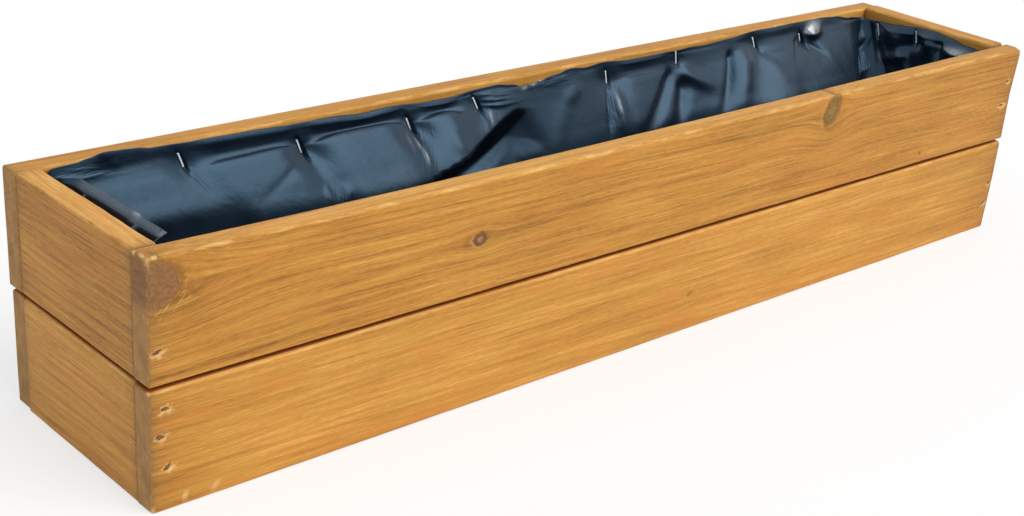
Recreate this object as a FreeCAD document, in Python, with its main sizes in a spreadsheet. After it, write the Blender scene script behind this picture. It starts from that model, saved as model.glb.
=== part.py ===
import FreeCAD, Part
import math
import os
import re
import Sketcher

# Long planter box of stained pine boards, two tiers high, with a film liner stapled inside it.
# Millimetres. +X runs along the box, the front looks along -Y and +Z is up.
# The origin is on the ground, under the middle of the box.

SIZES = {
    # Box and wall boards
    "box_length": 1000,
    "box_width": 200,
    "board_thick": 20,
    "board_height": 95,
    "board_round": 3,
    "tier_gap": 3,
    "end_recess": 0.5,
    "back_lower_short": 1.8,
    "right_end_proud": 1.5,
    # Posts in the corners and battens at mid length, which tie the two tiers
    "post_width": 30,
    "post_depth": 20,
    "batten_width": 45,
    "batten_depth": 20,
    "post_lap": 23,
    "post_round": 1.5,
    # Floor: a ledger along each long wall, and slats across them
    "ledger_width": 20,
    "ledger_height": 20,
    "ledger_lift": 5,
    "ledger_round": 1.2,
    "slat_width": 95,
    "slat_thick": 18,
    "slat_gap": 12,
    "slat_clear": 0.5,
    "slat_round": 2,
    # Nails through the wall corners, and shorter ones through posts, battens, ledgers and slats
    "corner_nail_radius": 1.1,
    "corner_nail_head_radius": 2,
    "corner_nail_head_thick": 0.9,
    "corner_nail_length": 45,
    "corner_nail_tip": 4,
    "inner_nail_radius": 0.9,
    "inner_nail_head_radius": 1.7,
    "inner_nail_head_thick": 0.8,
    "inner_nail_length": 30,
    "inner_nail_tip": 3,
    "nail_set": 0.6,
    # Staples of the liner
    "staple_crown": 12.8,
    "staple_leg": 8,
    "staple_wire": 1.25,
    "staple_gauge": 0.65,
    "staple_bend": 0.4,
    "staple_drop": 18,
    # Film liner
    "film_thick": 0.5,
    "film_clear": 0.3,
    "hem_drop": 5,
    "leave_clear": 1.5,
    "pass_clear": 2,
    "rim_corner": 10,
    # Room past a face for every cut
    "overrun": 1,
}

# Corner nails: across the end board's thickness and up the board, in shares, tier by tier
CORNER_NAIL_SHARES = {
    ("front", "left"): {"lower": [(0.63, 0.36), (0.37, 0.62), (0.55, 0.84)],
                        "upper": [(0.30, 0.27), (0.52, 0.66)]},
    ("front", "right"): {"lower": [(0.45, 0.30), (0.32, 0.53)], "upper": [(0.66, 0.40), (0.50, 0.66)]},
    ("back", "left"): {"lower": [(0.48, 0.28), (0.56, 0.70)], "upper": [(0.42, 0.30), (0.60, 0.69)]},
    ("back", "right"): {"lower": [(0.55, 0.33), (0.40, 0.72)], "upper": [(0.58, 0.25), (0.44, 0.65)]},
}
# Inner nails: across a post or batten and up its lap on a board, and along a slat's width, in shares
LAP_NAIL_SHARES = [(0.30, 0.35), (0.70, 0.65)]
SLAT_NAIL_SHARES = [0.22, 0.78]

# Staples of each wall, walked anticlockwise: place along the wall in shares of its inner length,
# drop below the rim in shares of the usual drop, lean of the crown as a share of its own length
STAPLE_SHARES = {
    "front": [(0.090, 0.95, -0.31), (0.205, 1.15, -0.41), (0.330, 0.90, -0.50), (0.455, 1.20, -0.21),
              (0.570, 1.00, -0.44), (0.690, 1.10, -0.34), (0.800, 0.85, -0.54), (0.915, 1.05, -0.26)],
    "right": [(0.558, 0.72, 0.21), (0.860, 0.97, 0.34)],
    "back": [(0.112, 1.06, 0.34), (0.189, 0.71, 0.43), (0.308, 0.69, 0.18), (0.406, 1.00, 0.24),
             (0.573, 0.98, 0.49), (0.650, 1.35, 0.42), (0.767, 1.33, 0.38), (0.881, 0.85, 0.37)],
    "left": [(0.270, 0.90, 0.28), (0.700, 0.80, 0.41)],
}
# Swags of the film between staples, walked the same way: how far each bows in, against the usual swag.
# The widest one, at mid length of the back wall, is the tuck over the batten.
SWAG_SHARES = {
    "front": [0.6, 1.0, 1.2, 1.0, 1.1, 0.9, 1.2, 1.0, 0.6],
    "right": [1.2, 1.0, 0.8],
    "back": [0.6, 1.0, 1.1, 0.9, 1.7, 1.0, 1.2, 1.0, 0.6],
    "left": [0.8, 1.2, 1.0],
}
# Film levels below the shoulder: height above the floor as a share of the shoulder's,
# and how far the film has gone in, as a share of the half width left there
BELLY_HEIGHT_SHARE = 0.55
BELLY_IN_SHARE = 0.08
HEEL_HEIGHT_SHARE = 0.16
HEEL_IN_SHARE = 0.18
FLAT_IN_SHARE = 0.42
# At the ends the film stands off by this share of its stand on the long walls
END_STAND_SHARE = 0.65
CORNER_SHARE = 0.65
SHOULDER_SWAG_SHARE = 0.06
BELLY_SWAG_SHARE = 0.075
HEEL_SWAG_SHARE = 0.045
FLAT_SWAG_SHARE = 0.02
SHOULDER_LEAN_SHARE = 0.16
BELLY_LEAN_SHARE = 0.32
HEEL_LEAN_SHARE = 0.42
# How far apart the film's faces may lie where they are sewn into one shell
SEAM = 1e-6

UP = FreeCAD.Vector(0, 0, 1)
ACROSS = FreeCAD.Vector(0, 1, 0)
ALONG = FreeCAD.Vector(1, 0, 0)

# Heights and inner sizes that several pieces share, as expressions on the sheet
INNER_LENGTH = "(box_length - 2 * end_recess - 2 * board_thick)"
INNER_WIDTH = "(box_width - 2 * board_thick)"
UPPER_FOOT = "(board_height + tier_gap)"
LEDGER_TOP = "(ledger_lift + ledger_height)"
FLOOR_TOP = "(ledger_lift + ledger_height + slat_thick)"
POST_LENGTH = f"({UPPER_FOOT} + post_lap - {FLOOR_TOP})"

doc = FreeCAD.newDocument("planter")
sheet = doc.addObject("Spreadsheet::Sheet", "sizes")
for row, (alias, value) in enumerate(SIZES.items(), start=1):
    sheet.set(f"A{row}", alias)
    sheet.set(f"B{row}", str(value))
    sheet.setAlias(f"B{row}", alias)
doc.recompute()


def size(alias):
    """Gives the number in one cell of the sheet."""
    return float(sheet.get(alias))


def bound(expression):
    """Puts the sheet's name before each size that an expression names."""
    return re.sub(r"[a-z]+(?:_[a-z]+)*", lambda name: f"sizes.{name.group()}", expression)


def bind(item, **expressions):
    """Binds properties of an object to expressions on the sheet; place_x means Placement.Base.x."""
    for name, expression in expressions.items():
        item.setExpression(name.replace("place_", "Placement.Base."), bound(expression))
    return item


inner_length = size("box_length") - 2 * size("end_recess") - 2 * size("board_thick")
inner_width = size("box_width") - 2 * size("board_thick")
upper_foot = size("board_height") + size("tier_gap")
rim = upper_foot + size("board_height")
ledger_top = size("ledger_lift") + size("ledger_height")
floor_top = ledger_top + size("slat_thick")
post_top = upper_foot + size("post_lap")
slat_count = int((inner_length + size("slat_gap")) / (size("slat_width") + size("slat_gap")))
slat_pitch = (inner_length - size("slat_width")) / (slat_count - 1)


def rounded_rectangle(sketch, across, up, rounding):
    """Draws a section with four eased corners, from the origin, held by three sizes of the sheet."""
    width, height, radius = size(across), size(up), size(rounding)
    far, high = width - radius, height - radius
    quarter = math.pi / 2
    for turn, (x, y) in enumerate([(far, radius), (far, high), (radius, high), (radius, radius)]):
        circle = Part.Circle(FreeCAD.Vector(x, y, 0), UP, radius)
        sketch.addGeometry(Part.ArcOfCircle(circle, (turn - 1) * quarter, turn * quarter))
    for turn in range(4):
        arc, following = sketch.Geometry[turn], sketch.Geometry[(turn + 1) % 4]
        sketch.addGeometry(Part.LineSegment(arc.EndPoint, following.StartPoint))
    for turn in range(4):
        sketch.addConstraint(Sketcher.Constraint("Tangent", turn, 2, turn + 4, 1))
        sketch.addConstraint(Sketcher.Constraint("Tangent", turn + 4, 2, (turn + 1) % 4, 1))
    right, top, left, bottom = range(4, 8)
    for upright in (right, left):
        sketch.addConstraint(Sketcher.Constraint("Vertical", upright))
    for level in (top, bottom):
        sketch.addConstraint(Sketcher.Constraint("Horizontal", level))
    for arc in (1, 2, 3):
        sketch.addConstraint(Sketcher.Constraint("Equal", 0, arc))
    sketch.addConstraint(Sketcher.Constraint("PointOnObject", left, 1, -2))
    sketch.addConstraint(Sketcher.Constraint("PointOnObject", bottom, 1, -1))
    held = {
        rounding: Sketcher.Constraint("Radius", 0, radius),
        across: Sketcher.Constraint("DistanceX", left, 1, right, 1, width),
        up: Sketcher.Constraint("DistanceY", bottom, 1, top, 1, height),
    }
    for alias, constraint in held.items():
        index = sketch.addConstraint(constraint)
        sketch.setExpression(f"Constraints[{index}]", bound(alias))


def stick(label, plane, section, length, place):
    """Makes a straight stick: an eased section on an origin plane, carried along that plane's normal.

    section names the sizes across, up and rounding; length and place are expressions.
    """
    body = doc.addObject("PartDesign::Body", label)
    sketch = body.newObject("Sketcher::SketchObject", f"{label}_section")
    support = next(item for item in body.Origin.OriginFeatures if item.Role == plane)
    sketch.AttachmentSupport = (support, [""])
    sketch.MapMode = "FlatFace"
    rounded_rectangle(sketch, *section)
    pad = body.newObject("PartDesign::Pad", f"{label}_pad")
    pad.Profile = sketch
    pad.Reversed = plane == "XZ_Plane"
    bind(pad, Length=length)
    x, y, z = place
    return bind(body, place_x=x, place_y=y, place_z=z)


def cut(label, base, tool):
    """Takes one object's solids out of another."""
    result = doc.addObject("Part::Cut", label)
    result.Base = base
    result.Tool = tool
    return result


def bundle(label, items):
    """Holds several objects together as one tool."""
    result = doc.addObject("Part::Compound", label)
    result.Links = items
    return result


def nail(kind):
    """Makes a round nail that points up, its head sunk below the plane of the origin."""
    head = bind(doc.addObject("Part::Cylinder", f"{kind}_head"), Radius=f"{kind}_head_radius",
                Height=f"{kind}_head_thick", place_z="nail_set")
    shank = bind(doc.addObject("Part::Cylinder", f"{kind}_shank"), Radius=f"{kind}_radius",
                 Height=f"{kind}_length - {kind}_tip", place_z="nail_set")
    tip = bind(doc.addObject("Part::Cone", f"{kind}_point"), Radius1=f"{kind}_radius", Height=f"{kind}_tip",
               place_z=f"nail_set + {kind}_length - {kind}_tip")
    tip.Radius2 = 0
    fused = doc.addObject("Part::MultiFuse", kind)
    fused.Shapes = [head, shank, tip]
    return fused


def nail_seat(kind, driven):
    """Makes the room that a driven nail takes up in the timber, with the dent above its head."""
    dent = bind(doc.addObject("Part::Cylinder", f"{kind}_dent"), Radius=f"{kind}_head_radius",
                Height="nail_set + overrun", place_z="-overrun")
    fused = doc.addObject("Part::MultiFuse", f"{kind}_seat")
    fused.Shapes = [driven, dent]
    return fused


def staple():
    """Makes a wire staple whose crown lies on the plane of the origin, its legs pointing up."""
    blank = stick("staple_blank", "XZ_Plane", ("staple_crown", "staple_leg", "staple_bend"), "staple_wire",
                  ("-staple_crown / 2", "-staple_wire / 2", "-staple_gauge"))
    room = bind(doc.addObject("Part::Box", "staple_room"), Length="staple_crown - 2 * staple_gauge",
                Width="staple_wire + 2 * overrun", Height="staple_leg",
                place_x="staple_gauge - staple_crown / 2", place_y="-staple_wire / 2 - overrun")
    return cut("staple", blank, room)


def scatter(label, pattern, places):
    """Sets copies of one fastener at their places, as separate solids of one object."""
    result = doc.addObject("Part::Feature", label)
    copies = [solid.transformed(place.Matrix) for place in places for solid in pattern.Shape.Solids]
    result.Shape = Part.makeCompound(copies)
    return result


def driven(x, y, z, way):
    """Gives the placement of a nail driven at a point of a face, along a direction."""
    return FreeCAD.Placement(FreeCAD.Vector(x, y, z), FreeCAD.Rotation(UP, way))


def wall_boards():
    """Makes the eight wall boards as blanks, by name: long ones full length, end ones between them."""
    blanks = {}
    long_section = ("board_thick", "board_height", "board_round")
    for tier, foot in (("lower", "0"), ("upper", UPPER_FOOT)):
        blanks[f"front_{tier}_board"] = stick(
            f"front_{tier}_blank", "YZ_Plane", long_section, "box_length",
            ("-box_length / 2", "-box_width / 2", foot))
        short = "back_lower_short" if tier == "lower" else "0"
        blanks[f"back_{tier}_board"] = stick(
            f"back_{tier}_blank", "YZ_Plane", long_section, f"box_length - {short}",
            (f"{short} - box_length / 2", "box_width / 2 - board_thick", foot))
        for side in ("left", "right"):
            x = f"-{INNER_LENGTH} / 2 - board_thick" if side == "left" else f"{INNER_LENGTH} / 2"
            raised = f"{foot} + right_end_proud" if (side, tier) == ("right", "upper") else foot
            blanks[f"{side}_{tier}_end_board"] = stick(
                f"{side}_{tier}_end_blank", "XZ_Plane", long_section, INNER_WIDTH,
                (x, "board_thick - box_width / 2", raised))
    return blanks


def uprights():
    """Makes the corner posts and middle battens as blanks, standing on the floor slats."""
    blanks = {}
    for wall in ("front", "back"):
        for side in ("left", "right"):
            x = f"-{INNER_LENGTH} / 2" if side == "left" else f"{INNER_LENGTH} / 2 - post_width"
            y = f"-{INNER_WIDTH} / 2" if wall == "front" else f"{INNER_WIDTH} / 2 - post_depth"
            blanks[f"{wall}_{side}_post"] = stick(
                f"{wall}_{side}_post_blank", "XY_Plane", ("post_width", "post_depth", "post_round"),
                POST_LENGTH, (x, y, FLOOR_TOP))
        y = f"-{INNER_WIDTH} / 2" if wall == "front" else f"{INNER_WIDTH} / 2 - batten_depth"
        blanks[f"{wall}_middle_batten"] = stick(
            f"{wall}_middle_batten_blank", "XY_Plane", ("batten_width", "batten_depth", "post_round"),
            POST_LENGTH, ("-batten_width / 2", y, FLOOR_TOP))
    return blanks


def ledgers():
    """Makes the two floor ledgers as blanks, along the inner foot of the long walls."""
    blanks = {}
    for wall in ("front", "back"):
        y = f"-{INNER_WIDTH} / 2" if wall == "front" else f"{INNER_WIDTH} / 2 - ledger_width"
        blanks[f"{wall}_ledger"] = stick(
            f"{wall}_ledger_blank", "YZ_Plane", ("ledger_width", "ledger_height", "ledger_round"),
            INNER_LENGTH, (f"-{INNER_LENGTH} / 2", y, "ledger_lift"))
    return blanks


def floor_slats():
    """Makes the floor slats as blanks, spread evenly along the ledgers."""
    blanks = {}
    for number in range(slat_count):
        x = f"-{INNER_LENGTH} / 2 + {number} * ({INNER_LENGTH} - slat_width) / {slat_count - 1}"
        blanks[f"floor_slat_{number + 1}"] = stick(
            f"floor_slat_{number + 1}_blank", "XZ_Plane", ("slat_width", "slat_thick", "slat_round"),
            f"{INNER_WIDTH} - 2 * slat_clear", (x, f"slat_clear - {INNER_WIDTH} / 2", LEDGER_TOP))
    return blanks


def corner_nail_places():
    """Lists the nails driven through the ends of the long boards into the end boards."""
    places = []
    for (wall, side), tiers in CORNER_NAIL_SHARES.items():
        outward = -1 if wall == "front" else 1
        sideways = -1 if side == "left" else 1
        for tier, shares in tiers.items():
            foot = 0 if tier == "lower" else upper_foot
            for across, up in shares:
                x = sideways * (size("box_length") / 2 - size("end_recess") - across * size("board_thick"))
                z = foot + up * size("board_height")
                places.append(driven(x, outward * size("box_width") / 2, z, ACROSS * -outward))
    return places


def lap_nail_places(middles, width, depth):
    """Lists the nails driven from inside through upright sticks into both tiers of the long walls."""
    places = []
    laps = [(floor_top, size("board_height")), (upper_foot, post_top)]
    for outward in (-1, 1):
        for middle in middles:
            for low, high in laps:
                for across, up in LAP_NAIL_SHARES:
                    x = middle + (across - 1 / 2) * width
                    z = low + up * (high - low)
                    places.append(driven(x, outward * (inner_width / 2 - depth), z, ACROSS * outward))
    return places


def ledger_nail_places():
    """Lists the nails driven from inside through the ledgers, one below each gap of the floor."""
    places = []
    for outward in (-1, 1):
        y = outward * (inner_width / 2 - size("ledger_width"))
        for gap in range(slat_count - 1):
            x = -inner_length / 2 + size("slat_width") / 2 + (gap + 1 / 2) * slat_pitch
            places.append(driven(x, y, size("ledger_lift") + size("ledger_height") / 2, ACROSS * outward))
    return places


def slat_nail_places():
    """Lists the nails driven down through both ends of each slat into the ledgers."""
    places = []
    for number in range(slat_count):
        for outward in (-1, 1):
            for along in SLAT_NAIL_SHARES:
                x = -inner_length / 2 + number * slat_pitch + along * size("slat_width")
                y = outward * (inner_width / 2 - size("ledger_width") / 2)
                places.append(driven(x, y, floor_top, UP * -1))
    return places


def wall_frames():
    """Gives each inner wall, walked anticlockwise: its middle, its way along, its way in and its length."""
    half_length, half_width = ALONG * (inner_length / 2), ACROSS * (inner_width / 2)
    return {
        "front": (half_width * -1, ALONG, ACROSS, inner_length),
        "right": (half_length, ACROSS, ALONG * -1, inner_width),
        "back": (half_width, ALONG * -1, ACROSS * -1, inner_length),
        "left": (half_length * -1, ACROSS * -1, ALONG, inner_width),
    }


def staple_places(wall):
    """Lists the staples of one wall: crowns on the film, legs through it into the upper board."""
    middle, along, inward, length = wall_frames()[wall]
    places = []
    for share, drop, lean in STAPLE_SHARES[wall]:
        stand = size("film_clear") + size("film_thick")
        point = middle + along * ((share - 1 / 2) * length) + inward * stand
        point += UP * (rim - drop * size("staple_drop"))
        crown = along * -lean - UP * math.sqrt(1 - lean ** 2)
        legs = inward * -1
        places.append(FreeCAD.Placement(point, FreeCAD.Rotation(crown, legs.cross(crown), legs, "ZXY")))
    return places


def film_levels():
    """Lists the levels of the film: height, stand off the long walls, corner, swag share, lean share."""
    deepest = max(drop for staples in STAPLE_SHARES.values() for _, drop, _ in staples)
    leave = rim - deepest * size("staple_drop") - size("staple_crown") / 2 - size("leave_clear")
    shoulder = post_top + size("pass_clear")
    stand = max(size("post_depth"), size("batten_depth")) + size("pass_clear")
    half = inner_width / 2 - stand
    rise = shoulder - floor_top
    hugging = size("film_clear")

    def below(height_share, in_share, swag, lean):
        """Gives a level below the shoulder."""
        return floor_top + height_share * rise, stand + in_share * half, CORNER_SHARE * half, swag, lean

    return [
        (rim - size("hem_drop"), hugging, size("rim_corner"), 0, 0),
        (leave, hugging, size("rim_corner"), 0, 0),
        below(1, 0, SHOULDER_SWAG_SHARE, SHOULDER_LEAN_SHARE),
        below(BELLY_HEIGHT_SHARE, BELLY_IN_SHARE, BELLY_SWAG_SHARE, BELLY_LEAN_SHARE),
        below(HEEL_HEIGHT_SHARE, HEEL_IN_SHARE, HEEL_SWAG_SHARE, HEEL_LEAN_SHARE),
        (floor_top + hugging, stand + FLAT_IN_SHARE * half, CORNER_SHARE * (1 - FLAT_IN_SHARE) * half,
         FLAT_SWAG_SHARE, HEEL_LEAN_SHARE),
    ]


def film_outline(level, skin, height):
    """Draws the film's outline at one level, set in by a skin's thickness, as swags and round corners."""
    _, stand, corner, swag, lean = level
    radius = corner - skin
    end_stand = max(END_STAND_SHARE * stand, size("film_clear"))
    edges = []
    for wall, (middle, along, inward, length) in wall_frames().items():
        off, side_off = (stand, end_stand) if wall in ("front", "back") else (end_stand, stand)
        base = middle + inward * (off + skin) + UP * height
        reach = length / 2 - side_off - skin - radius
        end = base + along * reach
        pins = [base + along * ((2 * share - 1) * reach) for share, _, _ in STAPLE_SHARES[wall]]
        leaned = [pin + (following - pin) * lean for pin, following in zip(pins, pins[1:] + [end])]
        stops = [base - along * reach] + leaned + [end]
        for start, stop, share in zip(stops, stops[1:], SWAG_SHARES[wall]):
            crest = (start + stop) / 2 + inward * (swag * share * (stop - start).Length)
            bowed = Part.Arc(start, crest, stop) if swag else Part.LineSegment(start, stop)
            edges.append(bowed.toShape())
        hub = end + inward * radius
        turned = hub + (along - inward).normalize() * radius
        edges.append(Part.Arc(end, turned, hub + along * radius).toShape())
    return Part.Wire(edges)


def film_skin(outlines):
    """Makes one side of the film: ruled faces down through its outlines, and a flat floor."""
    return Part.makeLoft(outlines, False, True).Faces + [Part.Face(outlines[-1])]


def liner(staples):
    """Makes the film liner: a slack trough in swags, closed along its hem and pierced by its staples."""
    levels = film_levels()
    heights = [level[0] for level in levels]
    inner_heights = heights[:-1] + [heights[-1] + size("film_thick")]
    outer = [film_outline(level, 0, height) for level, height in zip(levels, heights)]
    inner = [film_outline(level, size("film_thick"), height) for level, height in zip(levels, inner_heights)]
    shell = Part.makeShell(film_skin(outer) + film_skin(inner) + [Part.Face([outer[0], inner[0]])])
    shell.sewShape()
    shell.fix(SEAM, SEAM, SEAM)
    whole = doc.addObject("Part::Feature", "film_whole")
    whole.Shape = Part.makeSolid(shell)
    return cut("liner", whole, staples)


def fasteners():
    """Makes the nails and staples, and the room that each group takes up."""
    patterns = {kind: nail(kind) for kind in ("corner_nail", "inner_nail")}
    seats = {kind: nail_seat(kind, driven_nail) for kind, driven_nail in patterns.items()}
    wire = staple()
    doc.recompute()
    post_middle = inner_length / 2 - size("post_width") / 2
    in_posts = lap_nail_places((-post_middle, post_middle), size("post_width"), size("post_depth"))
    in_battens = lap_nail_places((0,), size("batten_width"), size("batten_depth"))
    nails = {
        "corner_nails": ("corner_nail", corner_nail_places()),
        "post_nails": ("inner_nail", in_posts),
        "batten_nails": ("inner_nail", in_battens),
        "ledger_nails": ("inner_nail", ledger_nail_places()),
        "slat_nails": ("inner_nail", slat_nail_places()),
    }
    groups = {}
    rooms = {}
    for label, (kind, places) in nails.items():
        groups[label] = scatter(label, patterns[kind], places)
        rooms[label] = scatter(f"{label}_room", seats[kind], places)
    for wall in STAPLE_SHARES:
        label = f"{wall}_staples"
        groups[label] = scatter(label, wire, staple_places(wall))
        rooms[label] = groups[label]
    return groups, rooms


groups, rooms = fasteners()
staple_labels = [f"{wall}_staples" for wall in STAPLE_SHARES]
tools = {
    "long_walls": ["corner_nails", "post_nails", "batten_nails", "ledger_nails",
                   "front_staples", "back_staples"],
    "end_walls": ["corner_nails", "left_staples", "right_staples"],
    "posts": ["post_nails"],
    "battens": ["batten_nails"],
    "ledgers": ["ledger_nails", "slat_nails"],
    "slats": ["slat_nails"],
    "film": staple_labels,
}
taken = {name: bundle(f"{name}_taken", [rooms[label] for label in labels]) for name, labels in tools.items()}

sub_parts = dict(groups)
for label, blank in wall_boards().items():
    sub_parts[label] = cut(label, blank, taken["end_walls" if "end" in label else "long_walls"])
for label, blank in uprights().items():
    sub_parts[label] = cut(label, blank, taken["posts" if "post" in label else "battens"])
for label, blank in ledgers().items():
    sub_parts[label] = cut(label, blank, taken["ledgers"])
for label, blank in floor_slats().items():
    sub_parts[label] = cut(label, blank, taken["slats"])
sub_parts["liner"] = liner(taken["film"])
doc.recompute()

for item in doc.Objects:
    if {"Invalid", "Error"} & set(item.State):
        raise RuntimeError(f"{item.Label} failed: {item.State}")
for label, item in sub_parts.items():
    if item.Shape.isNull() or not item.Shape.isValid() or not item.Shape.Solids:
        raise RuntimeError(f"{label} has no sound shape")

os.makedirs("parts", exist_ok=True)
for label, item in sub_parts.items():
    item.Label = label
    item.Shape.exportStep(f"parts/{label}.step")
    print(label, len(item.Shape.Solids), "solids", round(item.Shape.Volume), "cubic mm")
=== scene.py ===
"""Dresses the long planter box: stained pine boards, a slack film liner, wire fasteners and a studio.

Sizes are millimetres in the frame's own axes and become metres when a mesh is written: +X runs along
the box, the front looks along -Y and +Z is up.
"""

import logging
import math
from dataclasses import dataclass
from enum import Enum
from typing import Callable, Dict, List, Mapping, Optional, Sequence, Tuple, Union

import bmesh
import bpy
import numpy as np
from mathutils import Matrix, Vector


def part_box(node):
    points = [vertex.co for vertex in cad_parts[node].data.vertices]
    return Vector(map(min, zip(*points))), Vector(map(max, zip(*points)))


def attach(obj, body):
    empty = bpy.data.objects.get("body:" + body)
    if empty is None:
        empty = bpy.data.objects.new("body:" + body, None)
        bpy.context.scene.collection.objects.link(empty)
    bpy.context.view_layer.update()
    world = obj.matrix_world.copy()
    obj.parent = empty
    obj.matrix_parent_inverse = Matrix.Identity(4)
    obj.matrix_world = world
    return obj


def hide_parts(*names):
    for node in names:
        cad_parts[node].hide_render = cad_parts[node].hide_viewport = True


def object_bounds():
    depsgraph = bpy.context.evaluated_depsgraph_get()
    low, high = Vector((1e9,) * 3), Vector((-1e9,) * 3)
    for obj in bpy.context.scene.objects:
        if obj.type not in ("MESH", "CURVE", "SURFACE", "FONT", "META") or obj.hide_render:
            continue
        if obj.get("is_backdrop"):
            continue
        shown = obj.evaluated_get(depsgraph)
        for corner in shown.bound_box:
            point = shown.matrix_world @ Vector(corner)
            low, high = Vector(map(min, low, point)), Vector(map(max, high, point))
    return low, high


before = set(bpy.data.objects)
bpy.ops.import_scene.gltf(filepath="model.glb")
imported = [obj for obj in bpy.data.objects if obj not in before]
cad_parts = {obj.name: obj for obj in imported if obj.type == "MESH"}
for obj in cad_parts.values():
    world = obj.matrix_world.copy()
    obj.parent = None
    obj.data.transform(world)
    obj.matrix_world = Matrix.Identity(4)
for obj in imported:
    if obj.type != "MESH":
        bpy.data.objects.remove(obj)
CAD_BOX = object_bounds()

MM = 0.001
LOG = logging.getLogger("planter")

NOISE_CELLS = 64
GRADE_SAMPLES = 4001
WELD_REACH = 1e-6
LEAST_EDGE = 1e-7

Colour = Tuple[float, float, float]
Point = Tuple[float, float]
Triple = Tuple[float, float, float]


# Numbers on whole arrays

def smooth_step(low: float, high: float, value: np.ndarray) -> np.ndarray:
    """Rises from 0 at low to 1 at high along 3t^2 - 2t^3, or falls where low is above high."""
    share = np.clip((value - low) / (high - low), 0.0, 1.0)
    return share * share * (3.0 - 2.0 * share)


def lattice_noise(first: np.ndarray, second: np.ndarray, seed: int) -> np.ndarray:
    """Blends seeded random numbers on a whole-number lattice with cubic weights.

    Args:
        first: place along the lattice's first axis, in cells.
        second: place along its second axis, in cells.
        seed: seed of the table of random numbers.

    Returns:
        Values from 0 to 1, in the shape of the two arrays broadcast together.
    """
    table = np.random.default_rng(seed).random((NOISE_CELLS, NOISE_CELLS))
    first, second = np.broadcast_arrays(first, second)
    row, column = np.floor(first).astype(int), np.floor(second).astype(int)
    down, over = smooth_step(0.0, 1.0, first - row), smooth_step(0.0, 1.0, second - column)
    left, right = column % NOISE_CELLS, (column + 1) % NOISE_CELLS
    upper, lower = (table[line % NOISE_CELLS, left] * (1 - over) + table[line % NOISE_CELLS, right] * over
                    for line in (row, row + 1))
    return upper * (1 - down) + lower * down


def ridged_noise(first: np.ndarray, second: np.ndarray, seed: int, layers: int = 3) -> np.ndarray:
    """Sums layers of 1 - |2n - 1|, each twice as fine and half as high: sharp crests, round valleys."""
    total, height = 0.0, 0.5
    for layer in range(layers):
        fine = 2.0 ** layer
        noise = lattice_noise(first * fine, second * fine, seed + layer)
        total = total + height * (1 - np.abs(2 * noise - 1))
        height *= 0.5
    return total


def graded(low: float, high: float, count: int, centres: Sequence[float], spread: float,
           gain: float) -> np.ndarray:
    """Spaces stations by the inverse of a running density that swells around the centres.

    The density is 1 plus gain times a bell of the given spread at each centre; its running sum is
    inverted at even steps, so stations crowd where the density is high.

    Args:
        low: first station.
        high: last station.
        count: how many stations.
        centres: where stations crowd together.
        spread: half width of each crowded stretch.
        gain: how much denser it is than the rest.

    Returns:
        The stations, from low to high.
    """
    fine = np.linspace(low, high, GRADE_SAMPLES)
    swells = [np.exp(-((fine - centre) / spread) ** 2) for centre in centres]
    density = 1 + gain * np.max(swells, axis=0) if swells else np.ones_like(fine)
    running = np.concatenate([[0.0], np.cumsum((density[1:] + density[:-1]) / 2)])
    return np.interp(np.linspace(0, running[-1], count), running, fine)


def spline_weights(stations: np.ndarray, count: int) -> np.ndarray:
    """Gives Catmull-Rom weights: the four cubic weights of each station's neighbours, ends doubled.

    Args:
        stations: places among the points, as a whole number plus a share.
        count: how many points there are.

    Returns:
        One row of weights on the points for each station.
    """
    left = np.clip(np.floor(stations).astype(int), 0, count - 2)
    part = stations - left
    cubic = np.stack([-part + 2 * part ** 2 - part ** 3, 2 - 5 * part ** 2 + 3 * part ** 3,
                      part + 4 * part ** 2 - 3 * part ** 3, part ** 3 - part ** 2], axis=-1) / 2
    weights = np.zeros((len(stations), count))
    rows = np.arange(len(stations))
    for step in range(4):
        np.add.at(weights, (rows, np.clip(left + step - 1, 0, count - 1)), cubic[:, step])
    return weights


def swelling(places: Sequence[Point], at: np.ndarray) -> np.ndarray:
    """Joins (place, height) pairs with smooth steps, level at each pair."""
    stops, heights = np.array(places).T
    index = np.clip(np.searchsorted(stops, at) - 1, 0, len(stops) - 2)
    share = smooth_step(0.0, 1.0, (at - stops[index]) / (stops[index + 1] - stops[index]))
    return heights[index] + (heights[index + 1] - heights[index]) * share


def bells(axis: np.ndarray, height: np.ndarray, spots: Sequence[Tuple[float, float, float, float]]
          ) -> np.ndarray:
    """Takes the highest of some bells, each given as its place, its height and its reach in both."""
    found = [np.exp(-((axis - place) / wide) ** 2 - ((height - up) / tall) ** 2)
             for place, up, wide, tall in spots]
    return np.max(found, axis=0)


# Meshes

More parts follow.
